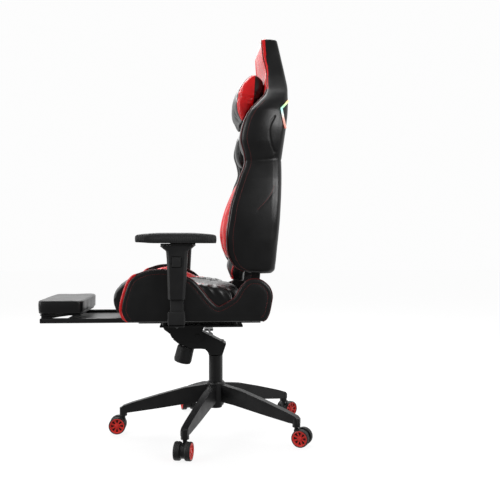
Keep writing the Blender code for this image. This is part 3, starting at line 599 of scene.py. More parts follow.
def thread(name, dark, light):
    made = shader(name, light, 0.55)
    twist = texture(made, "ShaderNodeTexNoise", 3200.0, detail=1.0)
    bumped(made, twist, 0.0002, 0.8)
    return mottled(made, twist, dark, light)


LIGHT_STOPS = (             # share of the strip's height, colour
    (0.00, (0.70, 0.03, 0.02)),
    (0.26, (0.85, 0.14, 0.12)),
    (0.46, (0.80, 0.82, 0.85)),
    (0.62, (0.35, 0.85, 0.90)),
    (0.74, (0.30, 0.85, 0.25)),
    (0.88, (0.85, 0.70, 0.06)),
    (1.00, (0.85, 0.16, 0.03)),
)


def rainbow(name):
    """Milky light guide whose colour runs through the rainbow with height."""
    made = shader(name, (0.55, 0.75, 0.60), 0.28)
    nodes, links = made.node_tree.nodes, made.node_tree.links
    place = nodes.new("ShaderNodeTexCoord")
    split = nodes.new("ShaderNodeSeparateXYZ")
    links.new(place.outputs["Object"], split.inputs[0])
    low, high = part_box("light_strip_left")
    share = ranged(made, split.outputs[2], 0.0, 1.0, (low.z, high.z))
    ramp = nodes.new("ShaderNodeValToRGB")
    stops = ramp.color_ramp.elements
    while len(stops) < len(LIGHT_STOPS):
        stops.new(0.5)
    for stop, (position, colour) in zip(stops, LIGHT_STOPS):
        stop.position = position
        stop.color = (*colour, 1.0)
    links.new(share, ramp.inputs[0])
    links.new(ramp.outputs[0], surface_of(made)["Emission Color"])
    surface_of(made)["Emission Strength"].default_value = 0.85
    haze = texture(made, "ShaderNodeTexNoise", 300.0, detail=2.0)
    bumped(made, haze, 0.0001, 0.4)
    return mottled(made, haze, (0.45, 0.62, 0.50), (0.60, 0.80, 0.66))


FINISH = {
    "black_leather": leather("black_leather", (0.0045, 0.0045, 0.0048),
                             (0.0080, 0.0080, 0.0084), 0.30, 0.40),
    "red_leather": leather("red_leather", (0.66, 0.010, 0.013), (0.84, 0.015, 0.018), 0.24, 0.34),
    "piping": leather("red_piping", (0.60, 0.012, 0.015), (0.80, 0.018, 0.020), 0.25, 0.34),
    "dull_piping": leather("dull_red_piping", (0.070, 0.004, 0.005), (0.115, 0.006, 0.007), 0.34, 0.46),
    "dark_piping": leather("dark_piping", (0.006, 0.006, 0.006), (0.010, 0.010, 0.010), 0.28, 0.36),
    "thread": thread("red_thread", (0.110, 0.006, 0.006), (0.200, 0.010, 0.010)),
    "plastic": moulded("black_plastic", (0.006, 0.006, 0.0065), (0.010, 0.010, 0.0105), 0.38, 0.50),
    "soft_plastic": moulded("soft_black_plastic", (0.007, 0.007, 0.0075),
                            (0.012, 0.012, 0.0125), 0.48, 0.62, 1400.0),
    "arm_skin": dimpled("dimpled_arm_skin"),
    "paint": moulded("powder_coat", (0.005, 0.005, 0.0055),
                     (0.009, 0.009, 0.0095), 0.36, 0.48, 420.0, 0.00018),
    "steel": steel("ground_steel", (0.56, 0.56, 0.57), 0.22),
    "tread": moulded("tread", (0.008, 0.008, 0.008), (0.014, 0.014, 0.014), 0.50, 0.66, 1200.0),
    "red_disc": moulded("red_wheel_disc", (0.62, 0.028, 0.022),
                        (0.82, 0.040, 0.030), 0.32, 0.46, 1100.0, 0.00008),
    "light": rainbow("light_guide"),
}


def dress(piece, rides_on, finish, slot, stands_for=()):
    piece.data.transform(Matrix.Translation((0, COLUMN_Y, 0)))
    which = [face.material_index for face in piece.data.polygons]
    piece.data.materials.clear()
    piece.data.materials.append(FINISH[finish])
    if "second" in piece:
        piece.data.materials.append(FINISH[piece["second"]])
        piece.data.polygons.foreach_set("material_index", which)
    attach(piece, rides_on)
    if stands_for:
        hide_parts(*stands_for)
    return piece


# ---------------------------------------------------------------- back shell

# Seams on the back's side as (depth, height), each from its top or its front end.
SHOULDER_SEAM = (
    (0.188, 1.096), (0.175, 1.071), (0.171, 1.050), (0.172, 1.031), (0.176, 1.014),
    (0.181, 0.999), (0.190, 0.979), (0.196, 0.963),
)
REAR_SEAM = (
    (0.196, 0.963), (0.193, 0.935), (0.192, 0.880), (0.190, 0.800), (0.190, 0.720),
    (0.189, 0.650), (0.183, 0.590),
)
WAIST_SEAM = ((0.094, 0.9545), (0.130, 0.9560), (0.170, 0.9600), (0.196, 0.9630))
FLANK_SEAM = ((0.192, 0.873), (0.183, 0.848), (0.162, 0.819), (0.133, 0.789))


def side_x(y, z):
    """Half width of the back's padded side at a place on it."""
    front, rear = back_front(z) + 0.006, back_rear(z) - back_corner(z)
    t = min(max((y - front) / max(rear - front, 0.01), 0.0), 1.0)
    shoulder = smoothstep(0.940, 1.020, z) * (1 - smoothstep(1.12, 1.22, z))
    crown = (0.0045 + 0.0065 * shoulder) * min((rear - front) / 0.09, 1.0) * sin(pi * t ** 0.8) ** 0.85
    return back_half(z) + crown + 0.0025 * shoulder


def back_section(z, border):
    """One side of a section of the back, from its front lip round to the middle of the rear face."""
    half, front, rear = back_half(z), back_front(z), back_rear(z)
    corner = min(back_corner(z), (rear - front) * 0.42)
    wall = min(SIDE_WALL, half * 0.25)
    section = [(half - wall, front + 0.014), (half - wall + 0.002, front + 0.005),
               (half - wall + 0.008, front), (half - wall * 0.5, front - 0.002),
               (half - 0.007, front - 0.0005), (half - 0.0025, front + 0.002)]
    start, end = front + 0.006, rear - corner
    shares = [i / 5 * border / (end - start) for i in range(6)]
    left = (1 - shares[-1]) / 34
    shares += [shares[-1] + left * (i + 1) for i in range(34)]
    for t in shares:
        y = start + t * (end - start)
        section.append((side_x(y, z), y))
    reach = side_x(end, z)
    for i in range(1, 8):
        angle = pi / 2 * i / 7
        section.append((reach - corner + corner * cos(angle), end + corner * sin(angle)))
    inner = reach - corner
    for i in range(1, 13):
        x = inner * (1 - i / 12)
        section.append((x, rear + 0.004 * (1 - (x / inner) ** 2)))
    return section


def back_shell():
    """Upholstered shell of the back: side panels, rear panel and head, open in front for the pads."""
    heights = sorted(list(np.linspace(BACK_BOTTOM, BACK_TOP, 236))
                     + [BACK_BOTTOM + rise for rise in (0.0004, 0.0012, 0.0024)]
                     + [BACK_TOP - rise for rise in (0.0050, 0.0024, 0.0012, 0.0004)])
    rings = []
    for z in heights:
        border = 0.012 - 0.008 * smoothstep(1.36, 1.19, z) if z > NECK else 0.010
        half_ring = back_section(z, border)
        recess = max(back_rear(z) - 0.045, back_front(z) + 0.016) if z < NECK else back_front(z) + 0.016
        ring = [(x, y, z) for x, y in half_ring] + [(-x, y, z) for x, y in reversed(half_ring[:-1])]
        edge = half_ring[0][0]
        ring += [(-edge, recess, z), (edge, recess, z)]
        rings.append(ring)
    for squeeze, rise in ((0.96, 0.0003), (0.80, 0.0008), (0.50, 0.0012)):
        last = rings[len(heights) - 1]
        rings.append([(x * squeeze, 0.186 + (y - 0.186) * squeeze, BACK_TOP + rise) for x, y, _ in last])
    shell = loft("back_upholstery", rings, angle=60)
    seams = [even_line(seam, 0.004) for seam in (SHOULDER_SEAM, REAR_SEAM, WAIST_SEAM, FLANK_SEAM)]
    mesh = shell.data
    places = np.array([v.co for v in mesh.vertices])
    depth = np.zeros(len(places))
    for seam, deep in zip(seams, (0.0026, 0.0018, 0.0016, 0.0006)):
        near = distance_to(places[:, 1:], seam)
        depth += deep * np.exp(-(near / 0.0024) ** 2)
    on_side = np.abs(places[:, 0]) > np.array([back_half(z) - 0.012 for z in places[:, 2]])
    depth *= on_side
    rear_seams = 0.0022 * np.exp(-((np.abs(places[:, 0]) - 0.135) / 0.0026) ** 2) * (places[:, 2] < 1.13)
    rear_seams += 0.0022 * np.exp(-((places[:, 2] - 0.958) / 0.0026) ** 2)
    on_rear = places[:, 1] > np.array([back_rear(z) - 0.006 for z in places[:, 2]])
    moved = places.copy()
    moved[:, 0] -= np.sign(places[:, 0]) * depth
    on_face = np.abs(places[:, 0]) < np.array([back_half(z) - 0.02 for z in places[:, 2]])
    moved[:, 1] -= rear_seams * on_rear * on_face
    mesh.vertices.foreach_set("co", moved.ravel())
    mesh.update()

    def gathers(point):
        waist = smoothstep(0.90, 0.955, point.z) * smoothstep(1.02, 0.965, point.z)
        pull = smoothstep(0.64, 0.58, point.z) + 0.6 * waist
        fold = noise.noise(Vector((point.y * 26 + point.z * 18, point.z * 9, point.x * 8)))
        return 0.0016 * pull * fold

    pressed(shell, gathers)
    reds = []
    for face in mesh.polygons:
        c = face.center
        width = 0.013 - 0.008 * smoothstep(1.37, 1.20, c.z)
        if c.z > 1.196 and abs(c.x) > back_half(c.z) - 0.034 and c.y < back_front(c.z) + width:
            reds.append(face.index)
    for index in reds:
        mesh.polygons[index].material_index = 1
    shell["second"] = "red_leather"
    dress(shell, "back", "black_leather", "black_leather", ("back_shell",))


def back_trim():
    """Piping along the front edges and rows of red stitches beside the seams."""
    for name, side in SIDES:
        edge = [(side * (back_half(z) - 0.0022), back_front(z) + 0.0010, z)
                for z in np.linspace(BACK_BOTTOM + 0.006, BACK_TOP - 0.004, 80)]
        radii = [PIPING * (0.72 if p[2] < 1.19 else 0.6) for p in edge]
        dress(tube(f"back_piping_{name}", edge, radii), "back", "dull_piping", "red_leather")
        row = []
        for z in np.linspace(0.590, 1.150, 90):
            y = back_front(z) + 0.006 + BORDER
            row.append((side * (side_x(y, z) + 0.0002), y, z))
        dress(stitches(f"back_stitches_{name}", row), "back", "thread", "red_leather")
        for label, seam, away, finish, slot in (
                ("shoulder", SHOULDER_SEAM, 0.0045, "dark_piping", "black_leather"),
                ("flank", FLANK_SEAM, 0.0030, "thread", "red_leather")):
            line = [(side * (side_x(y - away, z) + 0.0001), y - away, z) for y, z in seam]
            dress(stitches(f"{label}_stitches_{name}", line), "back", finish, slot)
    for x in (-0.141, -0.129, 0.129, 0.141):
        out = 0.0035 * (1 - (x / 0.22) ** 2) + 0.0004
        row = [(x, back_rear(z) + out, z) for z in np.linspace(0.60, 1.12, 60)]
        label = f"rear_stitches_{int(abs(x) * 1000)}_{'left' if x > 0 else 'right'}"
        dress(stitches(label, row), "back", "thread", "red_leather")


def head_front():
    """Front of the head section: one smooth red panel, full in the middle."""
    rows = []
    for z in np.linspace(1.150, BACK_TOP + 0.001, 48):
        half, front = back_half(z) - 0.016, back_front(z)
        top = smoothstep(BACK_TOP - 0.020, BACK_TOP + 0.001, z)
        row = []
        for i in range(57):
            t = -1 + 2 * i / 56
            bulge = 0.009 * (1 - t * t) ** 0.6 * (1 - 0.6 * top)
            row.append((t * half, front + 0.004 - bulge, z))
        rows.append(row)
    last = rows[-1]
    rows.append([(x * 0.99, y + 0.014, BACK_TOP + 0.0015) for x, y, _ in last])
    piece = loft("head_front", rows, closed=False)
    dress(piece, "back", "red_leather", "red_leather", ())


# ---------------------------------------------------------------- front pads of the back

CENTRE_PAD = ((0.550, 0.100, 0.050), (0.575, 0.112, 0.040), (0.640, 0.117, 0.052), (0.740, 0.117, 0.068),
              (0.850, 0.114, 0.086), (0.950, 0.110, 0.104), (1.040, 0.110, 0.128), (1.110, 0.112, 0.150),
              (1.162, 0.104, 0.158))
LOWER_WING = ((0.606, 0.135, 0.066), (0.630, 0.122, 0.036), (0.680, 0.120, 0.019), (0.720, 0.120, 0.015),
              (0.770, 0.120, 0.024), (0.826, 0.119, 0.044), (0.880, 0.117, 0.064), (0.925, 0.120, 0.086))
SHOULDER_WING = ((0.968, 0.122, 0.090), (0.994, 0.118, 0.079), (1.029, 0.116, 0.074), (1.070, 0.118, 0.079),
                 (1.105, 0.143, 0.096), (1.140, 0.144, 0.128), (1.155, 0.148, 0.142))
PUFF = 0.004                # the pads start this much smaller all round


def pad_depth(z, front):
    rear = back_rear(z) - PAD_BACK
    if z < 0.58:
        rear = min(rear, 0.125)
    return max(rear, front + 0.012)


def centre_pad():
    rings = []
    for z in np.linspace(CENTRE_PAD[0][0], CENTRE_PAD[-1][0], 60):
        half, front = table(CENTRE_PAD, z, 1), table(CENTRE_PAD, z, 2)
        rear = pad_depth(z, front)
        middle, depth = (front + rear) / 2, (rear - front) / 2
        depth = max(depth - PUFF, 0.004)
        rings.append(super_ring(lambda a, b: (a, middle + b, z), half - PUFF, depth, 0.38))
    pad = loft("centre_pad", rings)
    channels = (0.655, 0.735, 0.815, 0.895, 0.975, 1.050)

    def held(p):
        return p[1] > pad_depth(p[2], table(CENTRE_PAD, p[2], 2)) - 0.014

    puffed(pad, 0.006, 4.0, 0.006, held)

    def channel(point):
        near = min(abs(point.z - c - 0.030 * (point.x / 0.11) ** 2) for c in channels)
        front = table(CENTRE_PAD, point.z, 2)
        return 0.0045 * np.exp(-(near / 0.005) ** 2) * smoothstep(front + 0.016, front + 0.004, point.y)

    pressed(pad, channel)
    side_edge = [(table(CENTRE_PAD, z, 1) - 0.004, table(CENTRE_PAD, z, 2) + 0.0045, z)
                 for z in np.linspace(1.14, 0.560, 40)]
    bottom = [(x, 0.0475 + 0.004 * (x / 0.10) ** 2, 0.5505) for x in np.linspace(0.094, -0.094, 14)]
    edge = side_edge + bottom + [(-x, y, z) for x, y, z in reversed(side_edge)]
    edge = even_line(laid_on(pad, even_line(edge, 0.012), 0.0006), 0.006)
    dress(tube("centre_pad_piping", edge, 0.0034), "back", "piping", "red_leather")
    dress(pad, "back", "black_leather", "black_leather", ("back_centre_pad",))


def wing(label, stations, finish, seam_finish, cap):
    rings = []
    for z in np.linspace(stations[0][0], stations[-1][0], 40):
        inner, front = table(stations, z, 1), table(stations, z, 2)
        outer = min(back_half(z) - SIDE_WALL - 0.0015, inner + 0.11)
        rear = pad_depth(z, front)
        share = (z - stations[0][0]) / (stations[-1][0] - stations[0][0])
        taper = 1 - 0.35 * (abs(2 * share - 1)) ** 8
        across, half = (inner + outer) / 2, (outer - inner) / 2 * taper
        middle, depth = (front + rear) / 2, (rear - front) / 2 * taper
        half, depth = half - 0.0025, depth - 0.003
        rings.append(super_ring(lambda a, b: (across + a, middle + b, z), half, depth, 0.62))
    piece = loft(f"{label}_pad_left", rings)

    def held(p):
        return p[1] > pad_depth(p[2], table(stations, p[2], 2)) - 0.016

    puffed(piece, 0.005, 4.5, cap, held)

    def folds(point):
        ends = smoothstep(stations[0][0] + 0.07, stations[0][0], point.z)
        ends += smoothstep(stations[-1][0] - 0.07, stations[-1][0], point.z)
        return 0.0016 * ends * noise.noise(Vector((point.x * 60, point.y * 20, point.z * 22)))

    pressed(piece, folds)
    line = []
    for z in np.linspace(stations[0][0] + 0.010, stations[-1][0] - 0.006, 40):
        inner, front = table(stations, z, 1), table(stations, z, 2)
        line.append((inner + 0.004, front + 0.012, z))
    welt = tube(f"{label}_welt_left", even_line(laid_on(piece, line, 0.0008), 0.005), 0.0022, sides=8)
    node = {"lower": "lower_wing", "shoulder": "shoulder_wing"}[label]
    slot = "red_leather" if finish == "red_leather" else "black_leather"
    pads = (piece, mirrored(piece, f"{label}_pad_right"))
    welts = (welt, mirrored(welt, f"{label}_welt_right"))
    for (name, _), pad, seam in zip(SIDES, pads, welts):
        dress(pad, "back", finish, slot, (f"{node}_{name}",))
        dress(seam, "back", seam_finish, "black_leather")


# ---------------------------------------------------------------- head pillow

PILLOW_MIDDLE = (0.118, 1.184)
PILLOW_OUTLINE = (          # (y, z) round the pillow's end, from its top down the rear and up the front
    (0.1340, 1.2665), (0.1620, 1.2450), (0.1655, 1.2200), (0.1580, 1.1930),
    (0.1310, 1.1600), (0.0930, 1.1010), (0.0850, 1.1010), (0.0720, 1.1300),
    (0.0690, 1.1620), (0.0745, 1.1970), (0.0865, 1.2260), (0.1090, 1.2540),
)
PILLOW_BULGE = 0.010        # how much further forward the pillow's middle reaches
PILLOW_END = 0.122          # where the red end panels start
PILLOW_SPLIT = ((0.0, 0.1310, 1.2180), (0.0, 1.0, -0.07))     # plane between the end panel's red and black


def pillow_section(x, share, bulge):
    """The pillow's outline at a place along it, as even points from the top down the rear."""
    line = even_line([(y, z, 0) for y, z in PILLOW_OUTLINE], 0.004, closed=True)
    middle_y, middle_z = PILLOW_MIDDLE
    section = []
    for p in line:
        forward = PILLOW_BULGE * bulge * smoothstep(middle_y + 0.010, middle_y - 0.030, p.x)
        y = middle_y + (p.x - middle_y) * share - forward
        section.append((x, y, middle_z + (p.y - middle_z) * share))
    return section


def head_pillow():
    half = ((0.0, 0.955, 1.0), (0.050, 0.955, 0.8), (0.095, 0.955, 0.35), (0.118, 0.945, 0.05),
            (0.128, 0.925, 0.0), (0.134, 0.86, 0.0), (0.1370, 0.74, 0.0))
    stations = [(-x, share, bulge) for x, share, bulge in reversed(half[1:])] + list(half)
    pillow = loft("head_pillow_cover", [pillow_section(*station) for station in stations])

    def held(p):
        return abs(abs(p[0]) - PILLOW_END) < 0.003

    puffed(pillow, 0.005, 4.5, 0.006, held, 0.01)

    def gathers(point):
        a, b = point.y - PILLOW_MIDDLE[0], point.z - PILLOW_MIDDLE[1]
        end = smoothstep(0.080, 0.125, abs(point.x))
        fold = noise.noise(Vector((point.x * 7, a * 12, b * 95 + a * 20)))
        middle = np.exp(-((b + 0.004) / 0.024) ** 2)
        return 0.0040 * end * middle * fold + 0.0008 * noise.noise(Vector((point.x * 30, b * 25, a * 20)))

    pressed(pillow, gathers)
    split_at, split_way = Vector(PILLOW_SPLIT[0]), Vector(PILLOW_SPLIT[1])

    def ahead(place):
        return (Vector(place) - split_at).dot(split_way) < 0

    cuts = [((side * PILLOW_END, 0, 0), (1, 0, 0)) for _, side in SIDES] + [(split_at, split_way)]
    painted(pillow, cuts, "red_leather", lambda centre: abs(centre.x) > PILLOW_END and ahead(centre))
    welts = []
    for name, side in SIDES:
        rim = pillow_section(side * PILLOW_END, 1.03, 0.0)
        first = next(i for i in range(len(rim)) if not ahead(rim[i - 1]) and ahead(rim[i]))
        front = [p for p in rim[first:] + rim[:first] if ahead(p)]
        line = even_line(laid_on(pillow, front, 0.0004), 0.004)
        welts.append(tube(f"pillow_welt_{name}", line, 0.0017, sides=8))
    dress(pillow, "back", "black_leather", "black_leather", ("head_pillow",))
    for welt in welts:
        dress(welt, "back", "dark_piping", "black_leather")


# ---------------------------------------------------------------- seat

SEAT_PANEL = (              # side panel outline, from the front foot round to the rear foot
    (-0.288, 0.4265), (-0.298, 0.438), (-0.307, 0.460), (-0.307, 0.481), (-0.302, 0.505), (-0.294, 0.532),
    (-0.282, 0.560), (-0.262, 0.579), (-0.222, 0.594), (-0.163, 0.597), (-0.125, 0.587), (-0.092, 0.571),
    (-0.070, 0.555), (-0.047, 0.528), (-0.024, 0.499), (0.002, 0.477), (0.020, 0.482), (0.041, 0.494),
    (0.058, 0.507), (0.074, 0.534), (0.089, 0.552), (0.104, 0.563), (0.121, 0.566), (0.142, 0.563),
    (0.162, 0.550), (0.175, 0.533), (0.181, 0.510), (0.177, 0.481), (0.171, 0.454), (0.162, 0.435),
    (0.150, 0.4265),
)
CREST = (                   # top edge of the raised bolster, from the front to the rear
    (-0.300, 0.486), (-0.292, 0.522), (-0.276, 0.550), (-0.258, 0.565), (-0.239, 0.5765),
    (-0.201, 0.5900), (-0.163, 0.5930), (-0.125, 0.5790), (-0.097, 0.5660), (-0.070, 0.5545),
    (-0.024, 0.5470), (0.020, 0.5390), (0.038, 0.528), (0.046, 0.513),
)
CREST_SEAM = 0.2285         # the crest is red inside this and black outside it
PANEL_EDGE = 0.006
PANEL_DOME = 0.0025
FRONT_BAND = -0.262         # in front of this the panel's piping is thick and bright


def seat_panel_outline():
    """The outline as a line with even points, with its straight bottom edge."""
    outline = even_line(SEAT_PANEL, 0.005)
    bottom = even_line([SEAT_PANEL[-1], SEAT_PANEL[0]], 0.005)[1:-1]
    return outline + bottom


def panel_rise(distance):
    edge = np.minimum(distance / PANEL_EDGE, 1.0)
    dome = np.minimum(distance / 0.05, 1.0)
    return PANEL_EDGE * np.sqrt(np.maximum(0.0, 1 - (1 - edge) ** 2)) + PANEL_DOME * dome * (2 - dome)


def seat_side_panel(name, side):
    """Padded side panel: rounded at its edge, slightly domed, with a stitched border."""
    border = seat_panel_outline()
    flat = [tuple(p) for p in border]
    points = list(flat)
    count = len(flat)
    for depth in (0.0007, 0.0018, 0.0034, 0.0055):
        for i in range(count):
            along = border[(i + 1) % count] - border[i - 1]
            inward = Vector((along.y, -along.x)).normalized() * depth
            points.append((border[i].x + inward.x, border[i].y + inward.y))
    step = 0.0045
    for i in range(int(0.50 / step)):
        for j in range(int(0.18 / step)):
            points.append((-0.31 + (i + 0.5 * (j % 2)) * step, 0.425 + j * step))
    distance = distance_to(points, flat, closed=True)
    within = inside(points, flat)
    wanted = [0.0007, 0.0018, 0.0034, 0.0055]
    keep = list(range(count))
    for k in range(count, len(points)):
        ring = (k - count) // count
        needed = wanted[ring] * 0.9 if ring < len(wanted) else 0.0078
        if within[k] and distance[k] > needed:
            keep.append(k)
    chosen = [Vector(points[k]) for k in keep]
    edges = [(i, (i + 1) % count) for i in range(count)]
    made, _, faces, _, _, _ = delaunay_2d_cdt(chosen, edges, [], 1, 1e-6)
    distance = distance_to([tuple(p) for p in made], flat, closed=True)
    rise = panel_rise(distance) - 0.0012 * np.exp(-((distance - BORDER) / 0.0022) ** 2)
    outer = [(side * (PANEL_FACE + r), p.x, p.y) for p, r in zip(made, rise)]
    back_plane = side * (PANEL_FACE - 0.014)
    ring = [(back_plane, y, z) for y, z in flat]
    base = len(outer)
    skin = [tuple(f) for f in faces]
    skin += [(i, (i + 1) % count, base + (i + 1) % count, base + i) for i in range(count)]
    skin.append(tuple(base + i for i in range(count)))
    panel = tidy(new_piece(f"seat_side_panel_{name}", outer + ring, skin), 65)
    dress(panel, "seat", "black_leather", "black_leather", (f"seat_bolster_{name}",))


def seat_trim(name, side):
    """Piping round the side panel, thick in front, with a row of stitches inside it."""
    line = even_line(SEAT_PANEL, 0.004)
    radii = []
    for i, point in enumerate(line):
        thick = smoothstep(-0.245, -0.268, point.x) * smoothstep(0.425, 0.445, point.y)
        radii.append(0.0019 + 0.0032 * thick)
    path = [(side * (PANEL_FACE + 0.0015), p.x, p.y) for p in line]
    path = [(x, y - 0.0025 * (r > 0.004), z) for (x, y, z), r in zip(path, radii)]
    piping = tube(f"seat_piping_{name}", path, radii, sides=12)
    painted(piping, [((0, FRONT_BAND, 0), (0, 1, 0))], "piping", lambda centre: centre.y < FRONT_BAND)
    dress(piping, "seat", "dull_piping", "red_leather")
    row = []
    count = len(line)
    for i, point in enumerate(line):
        along = line[min(i + 1, count - 1)] - line[max(i - 1, 0)]
        inward = Vector((along.y, -along.x)).normalized() * BORDER
        place = point + inward
        if place.y > 0.436 and distance_to([tuple(place)], [tuple(p) for p in line])[0] > BORDER * 0.93:
            row.append((side * (PANEL_FACE + PANEL_EDGE + 0.0007), place.x, place.y))
    dress(stitches(f"seat_stitches_{name}", row), "seat", "thread", "red_leather")


def seat_crests():
    """The raised bolster inside each side panel, black with a red strip along its top."""
    rings = []
    for y in np.linspace(CREST[0][0], CREST[-1][0], 70):
        top = table(CREST, y, 1)
        low = 0.434 + 0.022 * smoothstep(-0.262, -0.300, y)
        middle = (low + top) / 2
        ring = [(0.2500, low), (0.2515, middle), (0.2515, top - 0.018), (0.2480, top - 0.0075),
                (0.2390, top - 0.0030), (0.2260, top - 0.0020), (0.2120, top - 0.0040),
                (0.1990, top - 0.0085), (0.1880, top - 0.0160), (0.1780, top - 0.0280),
                (0.1730, max(top - 0.046, low + 0.006)), (0.1722, (low + top - 0.04) / 2), (0.1725, low)]
        rings.append([(x, y, z) for x, z in ring])
    crest = loft("seat_crest_left", rings)

    def held(p):
        return p[0] > 0.2490 or p[2] < 0.47

    puffed(crest, 0.005, 5.0, 0.004, held, 0.01)

    def folds(point):
        top = table(CREST, point.y, 1)
        rear = smoothstep(-0.085, -0.030, point.y) * smoothstep(top - 0.045, top - 0.015, point.z)
        crease = noise.noise(Vector((point.x * 24, point.y * 46 + point.z * 20, point.z * 18)))
        ridge = 1 - abs(crease) * 2.6
        seam = np.exp(-((point.x - CREST_SEAM) / 0.0028) ** 2) * (point.z > top - 0.03)
        return -0.0022 * rear * max(ridge, -0.5) + 0.0020 * seam

    pressed(crest, folds)
    red_front, red_bottom = -0.245, 0.5490
    cuts = [((CREST_SEAM, 0, 0), (1, 0, 0)), ((0, red_front, 0), (0, 1, 0)), ((0, 0, red_bottom), (0, 0, 1))]

    def red(centre):
        return centre.x < CREST_SEAM and red_front < centre.y < -0.040 and centre.z > red_bottom

    painted(crest, cuts, "red_leather", red)
    other = mirrored(crest, "seat_crest_right")
    other["second"] = "red_leather"
    for piece in (crest, other):
        dress(piece, "seat", "black_leather", "black_leather", ())


def seat_cushion():
    outline = [(-0.275, 0.4420), (-0.330, 0.4435), (-0.342, 0.452), (-0.3495, 0.475), (-0.3525, 0.493),
               (-0.3495, 0.509), (-0.339, 0.528), (-0.315, 0.550), (-0.285, 0.565), (-0.230, 0.568),
               (-0.140, 0.555), (-0.050, 0.540), (0.030, 0.531), (0.068, 0.523), (0.076, 0.508),
               (0.076, 0.4645), (-0.262, 0.4645), (-0.268, 0.456)]
    line = even_line(outline, 0.008, closed=True)
    rings = []
    for x in np.linspace(-0.1625, 0.1625, 30):
        pinch = 1 - 0.05 * (abs(x) / 0.1625) ** 6
        rings.append([(x, -0.15 + (p.x + 0.15) * pinch, 0.49 + (p.y - 0.49) * pinch) for p in line])
    cushion = loft("seat_pad", rings)
    seams = (-0.288, -0.200, -0.112, -0.024)

    def held(p):
        return p[2] < 0.470 or abs(abs(p[0]) - 0.1625) < 0.002

    puffed(cushion, 0.006, 4.0, 0.006, held, 0.01)

    def channels(point):
        on_top = smoothstep(0.500, 0.525, point.z)
        across = min(abs(point.y - s - 0.020 * (point.x / 0.16) ** 2) for s in seams)
        along = abs(abs(point.x) - 0.112)
        groove = 0.0034 * np.exp(-(across / 0.0060) ** 2) + 0.0030 * np.exp(-(along / 0.0055) ** 2)
        crease = noise.noise(Vector((point.x * 34, point.y * 12, 0.3)))
        pull = smoothstep(-0.060, 0.040, point.y) + 0.35
        return on_top * (groove + 0.0012 * pull * crease)

    pressed(cushion, channels)
    dress(cushion, "seat", "black_leather", "black_leather", ("seat_cushion",))


# ---------------------------------------------------------------- footrest pad

FOOTREST_Y = -0.5250
FOOTREST_HALF = (0.160, 0.0785)
FOOTREST_RINGS = (          # height, how much further out than the pad's half sizes
    (0.4440, -0.0080), (0.4450, -0.0055), (0.4480, -0.0040), (0.4550, -0.0030),
    (0.4700, -0.0028), (0.4850, -0.0032), (0.4890, -0.0050), (0.4905, -0.0100),
)


def footrest_ring(z, grow, count):
    half_x, half_y = (half + grow for half in FOOTREST_HALF)
    return super_ring(lambda a, b: (a, FOOTREST_Y + b, z), half_x, half_y, 0.17, count)


def footrest_pad():
    pad = loft("footrest_cushion", [footrest_ring(z, grow, 72) for z, grow in FOOTREST_RINGS])

    def held(p):
        edge = max(abs(p[0]) - 0.150, abs(p[1] - FOOTREST_Y) - 0.0690)
        return p[2] < 0.449 or (abs(p[2] - 0.487) < 0.004 and edge > 0)

    puffed(pad, 0.0055, 4.0, 0.009, held)
    pressed(pad, lambda p: 0.0010 * noise.noise(Vector((p.x * 22, p.y * 26, p.z * 40))))
    pipings = []
    for label, z in (("top", 0.4880), ("bottom", 0.4475)):
        line = even_line(laid_on(pad, footrest_ring(z, 0.0, 96), 0.0006), 0.004, closed=True)
        pipings.append(tube(f"footrest_{label}_piping", line, 0.0017, closed=True, sides=8))
    dress(pad, "footrest_flip", "black_leather", "black_leather", ("footrest_pad",))
    for piping in pipings:
        dress(piping, "footrest_flip", "dark_piping", "black_leather")


# ---------------------------------------------------------------- armrests

ARM_PAD_MIDDLE = (0.300, -0.1300)
ARM_PAD_HALF = (0.0480, 0.1280)
ARM_PAD_RINGS = (           # share of the pad's height, height, how much further out than its half sizes
    (0.0, 0.6820, -0.006), (0.06, 0.6828, -0.003), (0.15, 0.6848, -0.0008),
    (0.5, 0.6970, 0.0), (0.75, 0.7075, -0.0004), (0.88, 0.7125, -0.002),
    (0.96, 0.7152, -0.005), (1.0, 0.7166, -0.011), (1.02, 0.7172, -0.024),
)


def arm_pads():
    """Armrest pads: rounded slabs, a little lower at their ends and lifted under the front."""
    middle_x, middle_y = ARM_PAD_MIDDLE
    half_x, half_y = ARM_PAD_HALF
    for name, side in SIDES:
        rings = []
        for share, z, grow in ARM_PAD_RINGS:
            def place(a, b):
                arch = -0.0075 * (b / half_y) ** 2 * share
                lift = 0.0030 * smoothstep(0.07, 0.125, -b) * (1 - share)
                return (side * middle_x + a, middle_y + b, z + arch + lift)
            rings.append(super_ring(place, half_x + grow, half_y + grow, 0.26, 72))
        pad = loft(f"arm_cushion_{name}", rings, angle=60)
        softened(pad)
        dress(pad, f"arm_swivel_{name}", "arm_skin", "soft_black_plastic", (f"arm_pad_{name}",))


# ---------------------------------------------------------------- casters

DISC_SLOTS = 8


